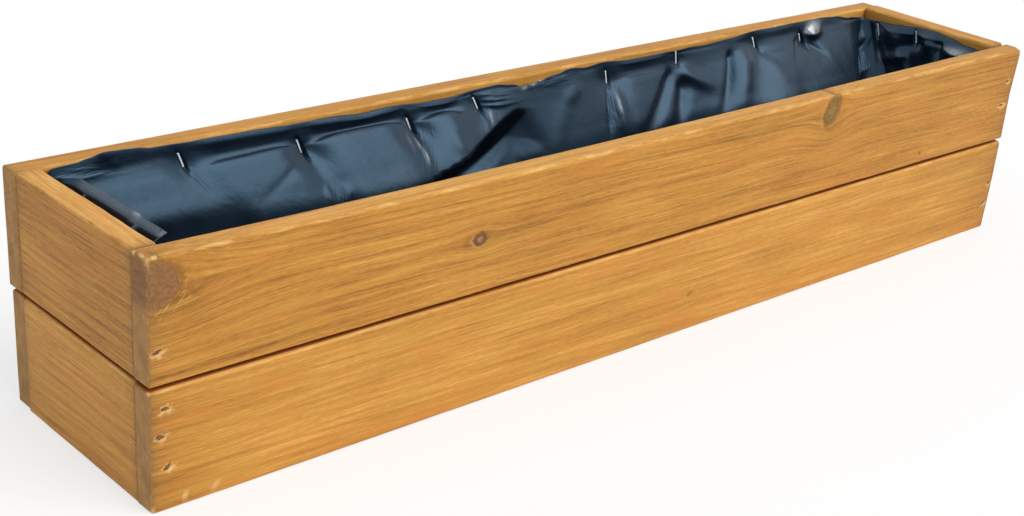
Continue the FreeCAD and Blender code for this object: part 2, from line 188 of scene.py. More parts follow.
def grid_piece(name: str, points: np.ndarray, marks: Mapping[str, np.ndarray],
               closed: bool) -> bpy.types.Object:
    """Makes a mesh of four-sided faces over a grid whose columns go round, and welds what coincides.

    Args:
        name: the piece's name.
        points: rows by columns by three, in millimetres.
        marks: number per point, by the name of the attribute that holds it.
        closed: whether the grid closes into a solid, whose faces then turn outwards.

    Returns:
        The new object, at the origin.
    """
    rows, columns = points.shape[:2]
    row, column = np.meshgrid(np.arange(rows - 1), np.arange(columns), indexing="ij")
    following = (column + 1) % columns
    faces = np.stack([row * columns + column, row * columns + following,
                      (row + 1) * columns + following, (row + 1) * columns + column], axis=-1)
    mesh = bpy.data.meshes.new(name)
    mesh.from_pydata(points.reshape(-1, 3) * MM, [], faces.reshape(-1, 4))
    for label, values in marks.items():
        layer = mesh.attributes.new(label, "FLOAT", "POINT")
        spread = np.broadcast_to(values, (rows, columns)).astype(np.float32)
        layer.data.foreach_set("value", spread.ravel())
    work = bmesh.new()
    work.from_mesh(mesh)
    bmesh.ops.remove_doubles(work, verts=work.verts, dist=WELD_REACH)
    bmesh.ops.dissolve_degenerate(work, edges=work.edges, dist=LEAST_EDGE)
    if closed:
        bmesh.ops.recalc_face_normals(work, faces=work.faces)
    work.to_mesh(mesh)
    work.free()
    mesh.shade_smooth()
    piece = bpy.data.objects.new(name, mesh)
    bpy.context.scene.collection.objects.link(piece)
    return piece


def node_points(node: str) -> np.ndarray:
    """Reads a CAD node's points, in millimetres."""
    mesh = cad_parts[node].data
    points = np.empty(len(mesh.vertices) * 3)
    mesh.vertices.foreach_get("co", points)
    return points.reshape(-1, 3) / MM


def clusters(points: np.ndarray, reach: float) -> List[np.ndarray]:
    """Parts the points of several small things that lie apart, each of them less than reach across."""
    found: List[np.ndarray] = []
    while len(points):
        near = np.linalg.norm(points - points[0], axis=1) < reach
        found.append(points[near])
        points = points[~near]
    return found


# Shader expressions

def two_sided(operation: str) -> Tuple[Callable[..., "Value"], Callable[..., "Value"]]:
    """Makes the method of an operator and its reflected twin; each adds one Math node."""
    def forward(self: "Value", other: "Operand") -> "Value":
        """Takes the value first."""
        return self.graph.math(operation, self, other)

    def reflected(self: "Value", other: "Operand") -> "Value":
        """Takes the value second."""
        return self.graph.math(operation, other, self)

    return forward, reflected


def one_sided(operation: str) -> Callable[["Value"], "Value"]:
    """Makes a method that adds one Math node on the value alone."""
    def method(self: "Value") -> "Value":
        """Takes the value."""
        return self.graph.math(operation, self)

    return method


class Value:
    """A socket that carries a number; operators and methods on it add Math nodes."""

    __add__, __radd__ = two_sided("ADD")
    __sub__, __rsub__ = two_sided("SUBTRACT")
    __mul__, __rmul__ = two_sided("MULTIPLY")
    __truediv__, __rtruediv__ = two_sided("DIVIDE")
    __pow__, __rpow__ = two_sided("POWER")
    most = two_sided("MAXIMUM")[0]
    least = two_sided("MINIMUM")[0]
    sine, size, root = one_sided("SINE"), one_sided("ABSOLUTE"), one_sided("SQRT")
    whole, share = one_sided("FLOOR"), one_sided("FRACT")

    def __init__(self, graph: "Graph", socket: bpy.types.NodeSocket) -> None:
        """Holds a socket of a graph."""
        self.graph = graph
        self.socket = socket

    def bell(self) -> "Value":
        """Gives e to the power of minus the value."""
        return self.graph.math("EXPONENT", self * -1.0)

    def step(self, low: float, high: float) -> "Value":
        """Rises smoothly from 0 at low to 1 at high, or falls where low is above high."""
        if low > high:
            return 1 - self.step(high, low)
        ranged = self.graph.node("ShaderNodeMapRange", {"interpolation_type": "SMOOTHSTEP"},
                                 {"Value": self, "From Min": low, "From Max": high})
        return Value(self.graph, ranged.outputs[0])


Operand = Union[Value, float]
Source = Union[Value, bpy.types.NodeSocket, float, Sequence[float]]


@dataclass(frozen=True)
class Weave:
    """A layer of noise: its cell in three directions, which of them the seed shifts, and its fineness."""

    cell: Triple
    shift: Tuple[int, int, int] = (0, 0, 0)
    detail: float = 2.0
    rough: float = 0.5


class Graph:
    """A node tree, and the few ways in which nodes are added to it."""

    def __init__(self, owner: Union[bpy.types.Material, bpy.types.World]) -> None:
        """Empties the tree of a material or of the world."""
        owner.use_nodes = True
        self.owner = owner
        self.tree = owner.node_tree
        self.tree.nodes.clear()

    @classmethod
    def fresh(cls, name: str) -> "Graph":
        """Makes the graph of a new material."""
        return cls(bpy.data.materials.new(name))

    def node(self, kind: str, settings: Mapping[str, object],
             inputs: Mapping[Union[str, int], Source]) -> bpy.types.Node:
        """Adds any node.

        Args:
            kind: the node's type.
            settings: its properties, set first; stops are the places and colours of a ramp.
            inputs: the value or link of each socket, by name or number.

        Returns:
            The new node.
        """
        made = self.tree.nodes.new(kind)
        for name, setting in settings.items():
            if name == "stops":
                self._set_stops(made.color_ramp, setting)
            else:
                setattr(made, name, setting)
        for name, source in inputs.items():
            source = source.socket if isinstance(source, Value) else source
            if isinstance(source, bpy.types.NodeSocket):
                self.tree.links.new(source, made.inputs[name])
            else:
                made.inputs[name].default_value = source
        return made

    @staticmethod
    def _set_stops(ramp: bpy.types.ColorRamp, stops: Sequence[Tuple[float, Colour]]) -> None:
        """Writes a ramp's stops."""
        while len(ramp.elements) < len(stops):
            ramp.elements.new(1.0)
        for element, (place, colour) in zip(ramp.elements, stops):
            element.position = place
            element.color = (*colour, 1.0)

    def math(self, operation: str, *operands: Operand) -> Value:
        """Adds one Math node on one or two operands."""
        made = self.node("ShaderNodeMath", {"operation": operation}, dict(enumerate(operands)))
        return Value(self, made.outputs[0])

    def place(self) -> Tuple[Value, Value, Value]:
        """Gives the object coordinates in millimetres."""
        where = self.node("ShaderNodeTexCoord", {}, {}).outputs["Object"]
        parts = self.node("ShaderNodeSeparateXYZ", {}, {0: where}).outputs
        return tuple(Value(self, part) / MM for part in parts)

    def noise(self, weave: Weave, place: Sequence[Operand], seed: float = 0.0) -> Value:
        """Draws a layer of smooth noise around 0.5.

        Args:
            weave: the layer.
            place: where it is read, in millimetres.
            seed: how many cells the layer is shifted by.

        Returns:
            The noise.
        """
        cells = [part / cell for part, cell in zip(place, weave.cell)]
        cells = [part + way * seed if way else part for part, way in zip(cells, weave.shift)]
        where = self.node("ShaderNodeCombineXYZ", {}, dict(enumerate(cells))).outputs[0]
        made = self.node("ShaderNodeTexNoise", {}, {"Vector": where, "Scale": 1.0, "Detail": weave.detail,
                                                    "Roughness": weave.rough})
        return Value(self, made.outputs[0])

    def lot(self, number: Operand) -> Value:
        """Draws a random number from 0 to 1 for each whole number."""
        made = self.node("ShaderNodeTexWhiteNoise", {"noise_dimensions": "1D"}, {"W": number})
        return Value(self, made.outputs["Value"])

    def mark(self, name: str) -> Value:
        """Reads a number that the mesh carries per point."""
        made = self.node("ShaderNodeAttribute", {"attribute_name": name}, {})
        return Value(self, made.outputs["Fac"])

    def ramp(self, value: Operand, stops: Sequence[Tuple[float, Colour]]) -> bpy.types.NodeSocket:
        """Turns a number into a colour between stops."""
        return self.node("ShaderNodeValToRGB", {"stops": stops}, {0: value}).outputs[0]

    def blend(self, amount: Operand, base: Source, over: Source) -> bpy.types.NodeSocket:
        """Lays one colour over another by an amount from 0 to 1."""
        inputs = {0: amount, 6: self._colour(base), 7: self._colour(over)}
        return self.node("ShaderNodeMix", {"data_type": "RGBA", "clamp_factor": True}, inputs).outputs[2]

    @staticmethod
    def _colour(source: Source) -> Source:
        """Gives a plain colour its fourth number."""
        return (*source, 1.0) if isinstance(source, tuple) else source

    def bump(self, height: Value, depth: float, under: Optional[bpy.types.NodeSocket] = None
             ) -> bpy.types.NodeSocket:
        """Tilts the normal by a height from 0 to 1 that stands for a depth in millimetres."""
        inputs: Dict[Union[str, int], Source] = {"Height": height, "Distance": depth * MM,
                                                 "Strength": 1.0}
        if under is not None:
            inputs["Normal"] = under
        return self.node("ShaderNodeBump", {}, inputs).outputs[0]

    def finish(self, inputs: Mapping[Union[str, int], Source]) -> bpy.types.Material:
        """Ends the tree in a Principled shader and gives back the material."""
        shader = self.node("ShaderNodeBsdfPrincipled", {}, inputs)
        self.node("ShaderNodeOutputMaterial", {}, {"Surface": shader.outputs[0]})
        return self.owner

    def seen(self) -> Value:
        """Gives 1 for rays from the camera, also by way of a gloss or a glass, and 0 for others."""
        path = self.node("ShaderNodeLightPath", {}, {}).outputs
        camera, gloss, glass = (Value(self, path[f"Is {kind} Ray"])
                                for kind in ("Camera", "Glossy", "Transmission"))
        return camera.most(gloss).most(glass)


# Finishes

class Grain(Enum):
    """The axis that the grain follows, as an index into x, y, z."""

    ALONG = 0
    ACROSS = 1
    UPRIGHT = 2


@dataclass(frozen=True)
class Knot:
    """A branch cut through by the saw: a blotched oval that the grain flows round."""

    along: float
    up: float
    half_length: float
    half_height: float
    tilt: float = 0.0
    push: float = 0.8
    streak: float = 0.0
    speckle: float = 0.3
    pale: float = 0.3
    strokes: float = 0.0
    colour: Colour = (0.300, 0.155, 0.060)
    heart: Optional[Colour] = None


@dataclass(frozen=True)
class Figure:
    """How the grain runs in one board: where its pith lies, how its rings are spaced, its knots, and the
    painted light on its upward faces.
    """

    pith_up: float
    pith_in: float
    pitch: float
    taper: float = 0.01
    wander: float = 5.0
    seed: float = 0.0
    shade: float = 0.0
    knots: Tuple[Knot, ...] = ()
    # Crown is painted light: how much lighter the upward faces are made, as if lit from above. Below zero it
    # darkens them.
    crown: float = 0.08
    contrast: float = 1.0
    soak: float = 0.14


@dataclass(frozen=True)
class StainedPine:
    """Pine under a honey-brown stain: fine rings, pale dashes, knots, greyer end grain, worn arrises, with
    painted shade underneath, painted light on tops and edges partly painted as highlights.
    """

    deep: Colour = (0.235, 0.095, 0.016)
    dark: Colour = (0.430, 0.190, 0.033)
    middle: Colour = (0.560, 0.266, 0.049)
    light: Colour = (0.690, 0.351, 0.082)
    pale: Colour = (0.800, 0.470, 0.140)
    end_dark: Colour = (0.190, 0.098, 0.034)
    end_light: Colour = (0.505, 0.272, 0.094)
    # Worn is partly the pale colour of rubbed arrises and partly a painted highlight along the edges.
    worn: Colour = (0.860, 0.520, 0.190)
    torn: Colour = (0.760, 0.480, 0.190)
    ruddy: Colour = (0.580, 0.215, 0.040)
    sallow: Colour = (0.500, 0.290, 0.050)
    dingy: Colour = (0.240, 0.135, 0.050)
    # Painted shade: a dark red-brown laid on faces that look down and on the covered tops of the lower
    # boards, in the gap where shade falls.
    painted_under_shade: Colour = (0.290, 0.068, 0.005)
    grime: Colour = (0.110, 0.045, 0.010)
    sway: Weave = Weave((210, 75, 75), (1, 0, 1))
    drift: Weave = Weave((17, 1, 900))
    fibre: Weave = Weave((55, 1.5, 1.5), (0, 1, 0), 3.0, 0.55)
    streak: Weave = Weave((230, 5.2, 5.2), (1, 0, 0), 3.0, 0.55)
    pore: Weave = Weave((7.5, 1.1, 1.1), (0, 1, 0), 2.0, 0.6)
    dash: Weave = Weave((15, 0.75, 0.75), (0, 0, 1), 1.0)
    cloud: Weave = Weave((140, 36, 36), (0, 1, 0), 3.0)
    blush: Weave = Weave((80, 24, 24), (1, 0, 0))
    fade: Weave = Weave((60, 16, 16), (-1, 0, 1))
    speck: Weave = Weave((0.9, 0.9, 0.9), (0, 0, 1))
    blotch: Weave = Weave((9, 11, 7), (0, 1, 0))
    rub: Weave = Weave((24, 5, 5), (0, 1, 0), 3.0, 0.65)
    rag: Weave = Weave((7, 7, 30), (1, 0, 0), 3.0, 0.6)
    mottle: Weave = Weave((2.6, 2.2, 12), (0, 1, 0), 3.0, 0.6)
    stroke: Weave = Weave((8, 1.8, 30), (1, 0, 0), 1.0)
    fleck: Weave = Weave((1.5, 1.3, 9), (0, 1, 0), 1.0)
    base_tone: float = 0.52
    fibre_gain: float = 0.74
    streak_gain: float = 0.52
    pore_gain: float = 0.42
    late_gain: float = 0.12
    dash_gain: float = 0.11
    cloud_gain: float = 0.50
    halo_gain: float = 0.16
    drift_gain: float = 1.6
    flow_reach: Point = (3.0, 1.9)
    halo_reach: Point = (2.0, 1.5)
    streak_height: float = 2.6
    gloss: float = 0.18
    relief: float = 0.22

    def material(self, name: str, figure: Figure, grain: Grain) -> bpy.types.Material:
        """Builds the board's material.

        A ring coordinate is the distance from the pith, after the grain's slow wander and its bend
        round each knot. Its sawtooth gives the dark late wood, and noise drawn out along the same
        bent grain gives fibre, streaks and dashes.

        Args:
            name: the material's name.
            figure: how the grain runs in this board.
            grain: the axis that the grain follows.

        Returns:
            The material.
        """
        graph = Graph.fresh(name)
        x, y, up = graph.place()
        along, through = (x, y) if grain is Grain.ALONG else (y, x)
        seed = figure.seed

        def noise(weave: Weave, height: Value = up) -> Value:
            """Draws a layer of noise with the board's own seed."""
            return graph.noise(weave, (along, height, through), seed)

        line = up + (noise(self.sway) - 0.5) * figure.wander
        for knot in figure.knots:
            line = line - (up - knot.up) * self._around(knot, along, up, self.flow_reach) * knot.push
        reach = (line - figure.pith_up) ** 2.0 + (through - figure.pith_in) ** 2.0
        reach = reach.root() + along * figure.taper
        phase = reach / figure.pitch + self.drift_gain * graph.noise(self.drift, (reach, seed, along))
        ring, part = phase.whole(), phase.share()
        late = part.step(0.25, 0.85) * part.step(1.0, 0.90) * (0.2 + 0.8 * graph.lot(ring + seed))
        fibre, streak, pore = (noise(weave, line) for weave in (self.fibre, self.streak, self.pore))
        dash = noise(self.dash, line).step(0.60, 0.75)
        cloud = noise(self.cloud)

        tone = (fibre - 0.5) * self.fibre_gain + (streak - 0.5) * self.streak_gain
        tone = tone + (pore - 0.5) * self.pore_gain - late * self.late_gain + dash * self.dash_gain
        tone = tone * figure.contrast + (cloud - 0.5) * self.cloud_gain
        # Painted light: the crown mark lightens the upward faces and eased top edges by the board's crown.
        tone = tone + graph.mark("crown") * figure.crown + self.base_tone + figure.shade
        if grain is Grain.ALONG:
            tone = tone - graph.mark("soak") * (0.4 + 1.2 * cloud) * figure.soak
        for knot in figure.knots:
            tone = tone - self._halo(knot, along, up) * self.halo_gain
        colour = graph.ramp(tone, [(0.0, self.deep), (0.28, self.dark), (0.52, self.middle),
                                   (0.74, self.light), (1.0, self.pale)])
        colour = graph.blend(noise(self.blush).step(0.50, 0.76) * 0.42, colour, self.ruddy)
        colour = graph.blend(noise(self.fade).step(0.52, 0.78) * 0.35, colour, self.sallow)

        blotch, near_end = noise(self.blotch), graph.mark("near_end")
        end_tone = 0.56 + (noise(self.speck) - 0.5) * 0.5 - late * 0.18 + (blotch - 0.5) * 0.9
        end_colour = graph.ramp(end_tone, [(0.0, self.end_dark), (1.0, self.end_light)])
        colour = graph.blend(near_end * (0.35 + blotch * 0.6), colour, self.dingy)
        colour = graph.blend(graph.mark("end"), colour, end_colour)
        height = fibre * 0.45 + (1 - late) * 0.35 + dash * 0.2
        for number, knot in enumerate(figure.knots):
            place = (along, up, through)
            colour, height = self._draw_knot(graph, knot, place, seed + number, colour, height)
        rub = noise(self.rub).step(0.40, 0.72) * (1 - near_end * 0.85)
        # Painted shade: the under mark darkens undersides and the gap between the boards towards a dark
        # red-brown.
        colour = graph.blend(graph.mark("under") * 0.9, colour, self.painted_under_shade)
        # Partly wear and partly painted highlight: the arrises are lightened where the rub noise is high.
        colour = graph.blend(graph.mark("arris") * rub * 0.75, colour, self.worn)
        colour = graph.blend(graph.mark("torn"), colour, self.torn)
        colour = graph.blend(graph.mark("grime"), colour, self.grime)
        rough = 0.56 + (fibre - 0.5) * 0.22 - late * 0.06 + graph.mark("end") * 0.15
        return graph.finish({"Base Color": colour, "Roughness": rough, "Specular IOR Level": self.gloss,
                             "Normal": graph.bump(height, self.relief)})

    @staticmethod
    def _around(knot: Knot, along: Value, up: Value, reach: Point) -> Value:
        """Gives a bell about a knot whose reach along and up counts in the knot's own half sizes."""
        right = (along - knot.along) / (reach[0] * knot.half_length)
        high = (up - knot.up) / (reach[1] * knot.half_height)
        return (right * right + high * high).bell()

    @staticmethod
    def _turned(knot: Knot, along: Value, up: Value) -> Tuple[Value, Value]:
        """Gives the place about a knot, turned by its tilt, in the knot's own half sizes."""
        cosine, sine = math.cos(knot.tilt), math.sin(knot.tilt)
        right, high = along - knot.along, up - knot.up
        return ((right * cosine + high * sine) / knot.half_length,
                (high * cosine - right * sine) / knot.half_height)

    def _halo(self, knot: Knot, along: Value, up: Value) -> Value:
        """Gives the darker wood round a knot, and the long streak that runs from some."""
        halo = self._around(knot, along, up, self.halo_reach)
        if not knot.streak:
            return halo
        run = ((along - knot.along) / knot.streak) ** 2.0
        thin = ((up - knot.up) / self.streak_height) ** 2.0
        return halo + (run + thin).bell() * 1.5

    def _draw_knot(self, graph: Graph, knot: Knot, place: Tuple[Value, Value, Value], seed: float,
                   colour: bpy.types.NodeSocket, height: Value) -> Tuple[bpy.types.NodeSocket, Value]:
        """Lays a knot over the wood.

        Its oval distance, made uneven by noise, parts the blotched core from the wood. A dark rim lies
        on its upper right, a pale one on its lower left, specks all round it, and for some a few pale
        slanting strokes on its lower right.

        Args:
            graph: the material's graph.
            knot: the knot.
            place: place along the grain, up the board and through it.
            seed: shifts the noise.
            colour: the wood's colour.
            height: the wood's relief.

        Returns:
            The colour and the relief with the knot in them.
        """
        along, up, through = place
        right, high = self._turned(knot, along, up)
        rag, mottle = (graph.noise(weave, place, seed) for weave in (self.rag, self.mottle))
        oval = (right * right + high * high).root() + (rag - 0.5) * 0.60

        def band(middle: float, width: float) -> Value:
            """Gives a bell about one oval distance."""
            return (((oval - middle) / width) ** 2.0).bell()

        side = ((right + high) * 0.6 + 0.5).most(0.0).least(1.0)
        core = graph.blend(oval.step(0.75, 0.15), knot.colour, knot.heart or knot.colour)
        core = graph.blend(mottle.step(0.66, 0.34) * 0.60, core, tuple(part * 0.5 for part in knot.colour))
        colour = graph.blend(band(1.20, 0.16) * (1 - side) * knot.pale, colour, self.torn)
        colour = graph.blend(oval.step(1.14, 0.76) * 0.92, colour, core)
        if knot.strokes:
            stroke = graph.noise(self.stroke, (along + up, along - up, through), seed).step(0.52, 0.70)
            stroke = stroke * oval.step(0.72, 0.95) * oval.step(1.75, 1.2) * (right - high).step(0.5, 1.2)
            colour = graph.blend(stroke * knot.strokes, colour, self.pale)
        rim = band(0.98, 0.10)
        colour = graph.blend(rim * side * 0.55, colour, self.deep)
        fleck = graph.noise(self.fleck, place, seed).step(0.58, 0.68) * band(0.9, 0.35) * knot.speckle
        return graph.blend(fleck, colour, self.grime), height - rim * 0.6 - fleck * 0.8


@dataclass(frozen=True)
class SawnPine:
    """Bare pine as it comes off the saw, for the sticks and slats inside the box."""

    dark: Colour = (0.330, 0.170, 0.062)
    middle: Colour = (0.520, 0.315, 0.135)
    light: Colour = (0.640, 0.430, 0.210)
    sway: Weave = Weave((160, 50, 50))
    drift: Weave = Weave((15, 1, 700))
    fibre: Weave = Weave((30, 0.9, 0.9), detail=3.0, rough=0.6)
    cloud: Weave = Weave((90, 60, 60))
    wobble: Weave = Weave((40, 25, 25))
    pith: Point = (-70.0, 130.0)
    pitch: float = 2.6
    saw_step: float = 3.2
    gloss: float = 0.25
    relief: float = 0.3

    def material(self, grain: Grain) -> bpy.types.Material:
        """Builds the timber's material: rings about a far pith, stretched fibre and saw marks across it."""
        graph = Graph.fresh(f"sawn_pine_{grain.name.lower()}")
        axes = list(graph.place())
        along = axes.pop(grain.value)
        first, second = axes
        sway, fibre, cloud, wobble = (graph.noise(weave, (along, first, second)) for weave in
                                      (self.sway, self.fibre, self.cloud, self.wobble))
        reach = ((first - self.pith[0] + sway * 9) ** 2.0 + (second - self.pith[1]) ** 2.0).root()
        part = (reach / self.pitch + 1.5 * graph.noise(self.drift, (reach, 0.0, along))).share()
        late = part.step(0.4, 0.9) * part.step(1.0, 0.94)
        saw = (along * (2 * math.pi / self.saw_step) + wobble * 9).sine() * 0.5 + 0.5
        tone = 0.55 + (fibre - 0.5) * 0.6 - late * 0.35 + (cloud - 0.5) * 0.6 + (saw - 0.5) * 0.08
        colour = graph.ramp(tone, [(0.0, self.dark), (0.5, self.middle), (1.0, self.light)])
        rough = 0.72 + (fibre - 0.5) * 0.2
        height = fibre * 0.5 + saw * 0.35 + (1 - late) * 0.15
        return graph.finish({"Base Color": colour, "Roughness": rough, "Specular IOR Level": self.gloss,
                             "Normal": graph.bump(height, self.relief)})


@dataclass(frozen=True)
class LinerFilm:
    """Slate-blue sheet film with a soft gloss, crinkled all over."""

    dark: Colour = (0.0036, 0.0074, 0.0135)
    light: Colour = (0.0072, 0.0142, 0.0250)
    shade: Colour = (0.0004, 0.0005, 0.0010)
    sheen: Colour = (0.37, 0.66, 1.0)
    cloud: Weave = Weave((70, 70, 40), detail=3.0)
    crinkle: Weave = Weave((19, 19, 26), detail=3.0, rough=0.6)
    fine: Weave = Weave((4.2, 4.2, 4.2))
    flat: Weave = Weave((24, 3.2, 60))
    steep: Weave = Weave((3.4, 26, 1))
    gloss: float = 0.74
    dulling: float = 0.27
    crest_depth: float = 0.30
    crinkle_depth: float = 1.2
    fine_depth: float = 0.03

    def material(self) -> bpy.types.Material:
        """Builds the film's material: crinkles of several sizes as relief, cloudy gloss, and painted shade in
        the hollows beyond the lips.
        """
        graph = Graph.fresh("liner_film")
        x, y, z = graph.place()
        cloud, fine = graph.noise(self.cloud, (x, y, z)), graph.noise(self.fine, (x, y, z))
        crest = 1 - (2 * graph.noise(self.crinkle, (x + z * 0.7, y, z)) - 1).size()
        colour = graph.blend(cloud.step(0.25, 0.75), self.dark, self.light)
        # Painted shade: where the hollow mark is set, the colour goes to near black, as if the hollow lay in
        # shadow.
        colour = graph.blend(graph.mark("hollow"), colour, self.shade)
        rough = 0.33 + (cloud - 0.5) * 0.14 + (fine - 0.5) * 0.06 + graph.mark("dull") * self.dulling
        flat = graph.noise(self.flat, (x - y, z, x - y + z)) * graph.mark("flat_crinkle")
        steep = graph.noise(self.steep, (x - y + z * 0.4, z, 0.0)) * graph.mark("steep_crinkle")
        normal = graph.bump(crest, self.crest_depth)
        normal = graph.bump(flat + steep, self.crinkle_depth, normal)
        normal = graph.bump(fine, self.fine_depth, normal)
        glint = graph.mark("glint") * fine.step(0.22, 0.46)
        return graph.finish({"Base Color": colour, "Roughness": rough, "Specular IOR Level": self.gloss,
                             "Specular Tint": (*self.sheen, 1.0), "Normal": normal, "Coat Weight": glint,
                             "Coat IOR": 3.0, "Coat Roughness": 0.2})


@dataclass(frozen=True)
class FastenerWire:
    """Drawn wire: bright and zinc-coated for staples, whose pale blue-white colour with no metal is partly a
    painted reflection of the sky; dull and dark for nails.
    """

    name: str
    dark: Colour
    light: Colour
    rough: float
    metal: float
    cloud: Weave = Weave((2.6, 2.6, 2.6), detail=3.0, rough=0.6)
    scratch: Weave = Weave((0.25, 0.25, 2.0))
    relief: float = 0.03

    def material(self) -> bpy.types.Material:
        """Builds the wire's material: cloudy colour and gloss, with fine drawing marks."""
        graph = Graph.fresh(self.name)
        place = graph.place()
        cloud, scratch = graph.noise(self.cloud, place), graph.noise(self.scratch, place)
        colour = graph.blend(cloud.step(0.3, 0.7), self.dark, self.light)
        rough = self.rough + (cloud - 0.5) * 0.2 + (scratch - 0.5) * 0.1
        return graph.finish({"Base Color": colour, "Roughness": rough, "Metallic": self.metal,
                             "Normal": graph.bump(scratch, self.relief)})


# Wall boards

@dataclass(frozen=True)
class Chip:
    """A bite out of a board, at a place of the frame: a rough hollow that shows torn wood."""

    place: Triple
    radius: float
    depth: float


@dataclass
class WallBoard:
    """One board of the walls: an eased section carried along the grain, with worn arrises and nail dents.

    Soak and dirt are how far from the ends the stain has sunk in, and how far dirt has crept in.
    """

    node: str
    grain: Grain
    outward: float
    figure: Figure
    seed: int
    chips: Tuple[Chip, ...] = ()
    rounding: float = 3.0
    low_rounding: float = 1.5
    end_rounding: float = 1.5
    cant: Point = (0.0, 0.0)
    cant_reach: float = 7.0
    crook: float = 0.0
    bow_skew: float = 0.7
    wear: float = 0.45
    unevenness: float = 0.10
    dent_depth: float = 1.5
    head_depth: float = 1.6
    head_reach: float = 6.24
    face_crowd: Point = (5.0, 3.0)
    ring_crowd: Point = (14.0, 4.0)
    face_steps: int = 46
    back_steps: int = 26
    edge_steps: int = 9
    arris_steps: int = 8
    end_steps: int = 9
    bend_steps: int = 5
    ring_pitch: float = 4.6
    spare_rings: int = 30
    soak: float = 34.0
    dirt: float = 4.0

    def __post_init__(self) -> None:
        """Takes the board's box from the frame."""
        low, high = (np.array(corner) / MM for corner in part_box(self.node))
        self.middle = (low + high) / 2
        self.half = (high - low) / 2
        self.run = self.grain.value
        self.side = 1 - self.run

    def section(self, dents: Sequence[float]) -> Tuple[np.ndarray, np.ndarray, np.ndarray]:
        """Draws the section: four sides at graded stations, joined by quarter circles.

        Args:
            dents: heights of the nail dents, where stations crowd.

        Returns:
            The points (up, out), their outward normals, and how near each is to the middle of an arris.
        """
        high, wide = self.half[2] - self.rounding, self.half[self.side] - self.rounding
        turn = np.linspace(0, np.pi / 2, self.arris_steps)
        face = graded(-high, high, self.face_steps, dents, *self.face_crowd)[1:-1]
        plain = np.linspace(-high, high, self.back_steps)[1:-1]
        edge = np.linspace(-wide, wide, self.edge_steps)[1:-1]
        facings = np.array([[0.0, 1.0], [1.0, 0.0], [0.0, -1.0], [-1.0, 0.0]])
        points, normals, arris = [], [], []
        for number, stations in enumerate((face, edge[::-1], plain[::-1], edge)):
            facing, onward = facings[number], facings[(number + 1) % 4]
            upright = number % 2 == 0
            depth = (wide if upright else high) + self.rounding
            flat = np.empty((len(stations), 2))
            flat[:, 0 if upright else 1] = stations
            flat[:, 1 if upright else 0] = depth * facing[1 if upright else 0]
            bend = np.cos(turn)[:, None] * facing + np.sin(turn)[:, None] * onward
            radius = self.rounding if number < 2 else self.low_rounding
            centre = (np.array([self.half[2], self.half[self.side]]) - radius) * (facing + onward)
            points += [flat, centre + radius * bend]
            normals += [np.broadcast_to(facing, flat.shape), bend]
            arris += [np.zeros(len(stations)), np.sin(2 * turn)]
        return np.concatenate(points), np.concatenate(normals), np.concatenate(arris)

    def dents(self, nails: np.ndarray) -> np.ndarray:
        """Finds the nail heads that show in this board's outer face, where one in a knot is closed over.

        Args:
            nails: points of all the nails.

        Returns:
            Their places along and up the board, measured from its middle.
        """
        local = nails - self.middle
        near = np.abs(self.outward * local[:, self.side] - self.half[self.side]) < self.head_depth
        near &= (np.abs(local[:, 2]) < self.half[2]) & (np.abs(local[:, self.run]) < self.half[self.run])
        heads = clusters(local[near], self.head_reach)
        middles = [(head.min(axis=0) + head.max(axis=0)) / 2 for head in heads]
        places = np.array(middles).reshape(-1, 3)[:, [self.run, 2]]
        for knot in self.figure.knots:
            apart = places + self.middle[[self.run, 2]] - (knot.along, knot.up)
            places = places[np.hypot(*(apart / (knot.half_length, knot.half_height)).T) > 1]
        return places

    def build(self, nails: np.ndarray) -> bpy.types.Object:
        """Builds the board's mesh.

        Rows run from the middle line of one end, out over its face and arris, along the rings of the
        body and in again at the other end. Each point then moves in against its normal by the wear
        of the arrises, the chips and the nail dents.

        Args:
            nails: points of all the nails.

        Returns:
            The piece, which replaces its CAD node.
        """
        dents = self.dents(nails)
        section, normal, arris = self.section(dents[:, 1])
        run = self.half[self.run]
        knots = [knot.along - self.middle[self.run] for knot in self.figure.knots]
        crowd = [-run, run, *dents[:, 0], *knots]
        body = graded(-run + self.end_rounding, run - self.end_rounding,
                      int(2 * run / self.ring_pitch) + self.spare_rings, crowd, *self.ring_crowd)
        bend = np.linspace(0, np.pi / 2, self.bend_steps)[:-1]
        shrink = np.linspace(1, 0, self.end_steps)[:-1]
        flat = np.ones(len(shrink))

        def at_ends(face: np.ndarray, curve: np.ndarray) -> np.ndarray:
            """Joins the values of an end's face and curve, noughts for the body, and the other end."""
            end = np.concatenate([face, curve])
            return np.concatenate([end, np.zeros(len(body)), end[::-1]])[:, None]

        start = np.concatenate([flat * -run, -run + self.end_rounding * (1 - np.cos(bend))])
        along = np.concatenate([start, body, -start[::-1]])[:, None]
        inset = self.end_rounding * at_ends(flat, 1 - np.sin(bend))[..., None]
        toward = at_ends(shrink, 0 * bend)[..., None]
        tilt = at_ends(flat, np.cos(bend))

        spine = self.half[2] - self.half[self.side]
        line = np.stack([np.clip(section[:, 0], -spine, spine), np.zeros(len(section))], axis=-1)
        across = (section - normal * inset) * (1 - toward) + line * toward
        ends = np.sign(along) * tilt
        level = np.sqrt(1 - tilt ** 2)
        grid = across.shape[:2]
        facing = np.stack([np.broadcast_to(ends, grid), normal[:, 0] * level, normal[:, 1] * level], axis=-1)
        local = np.stack([np.broadcast_to(along, grid), across[..., 0], across[..., 1]], axis=-1)

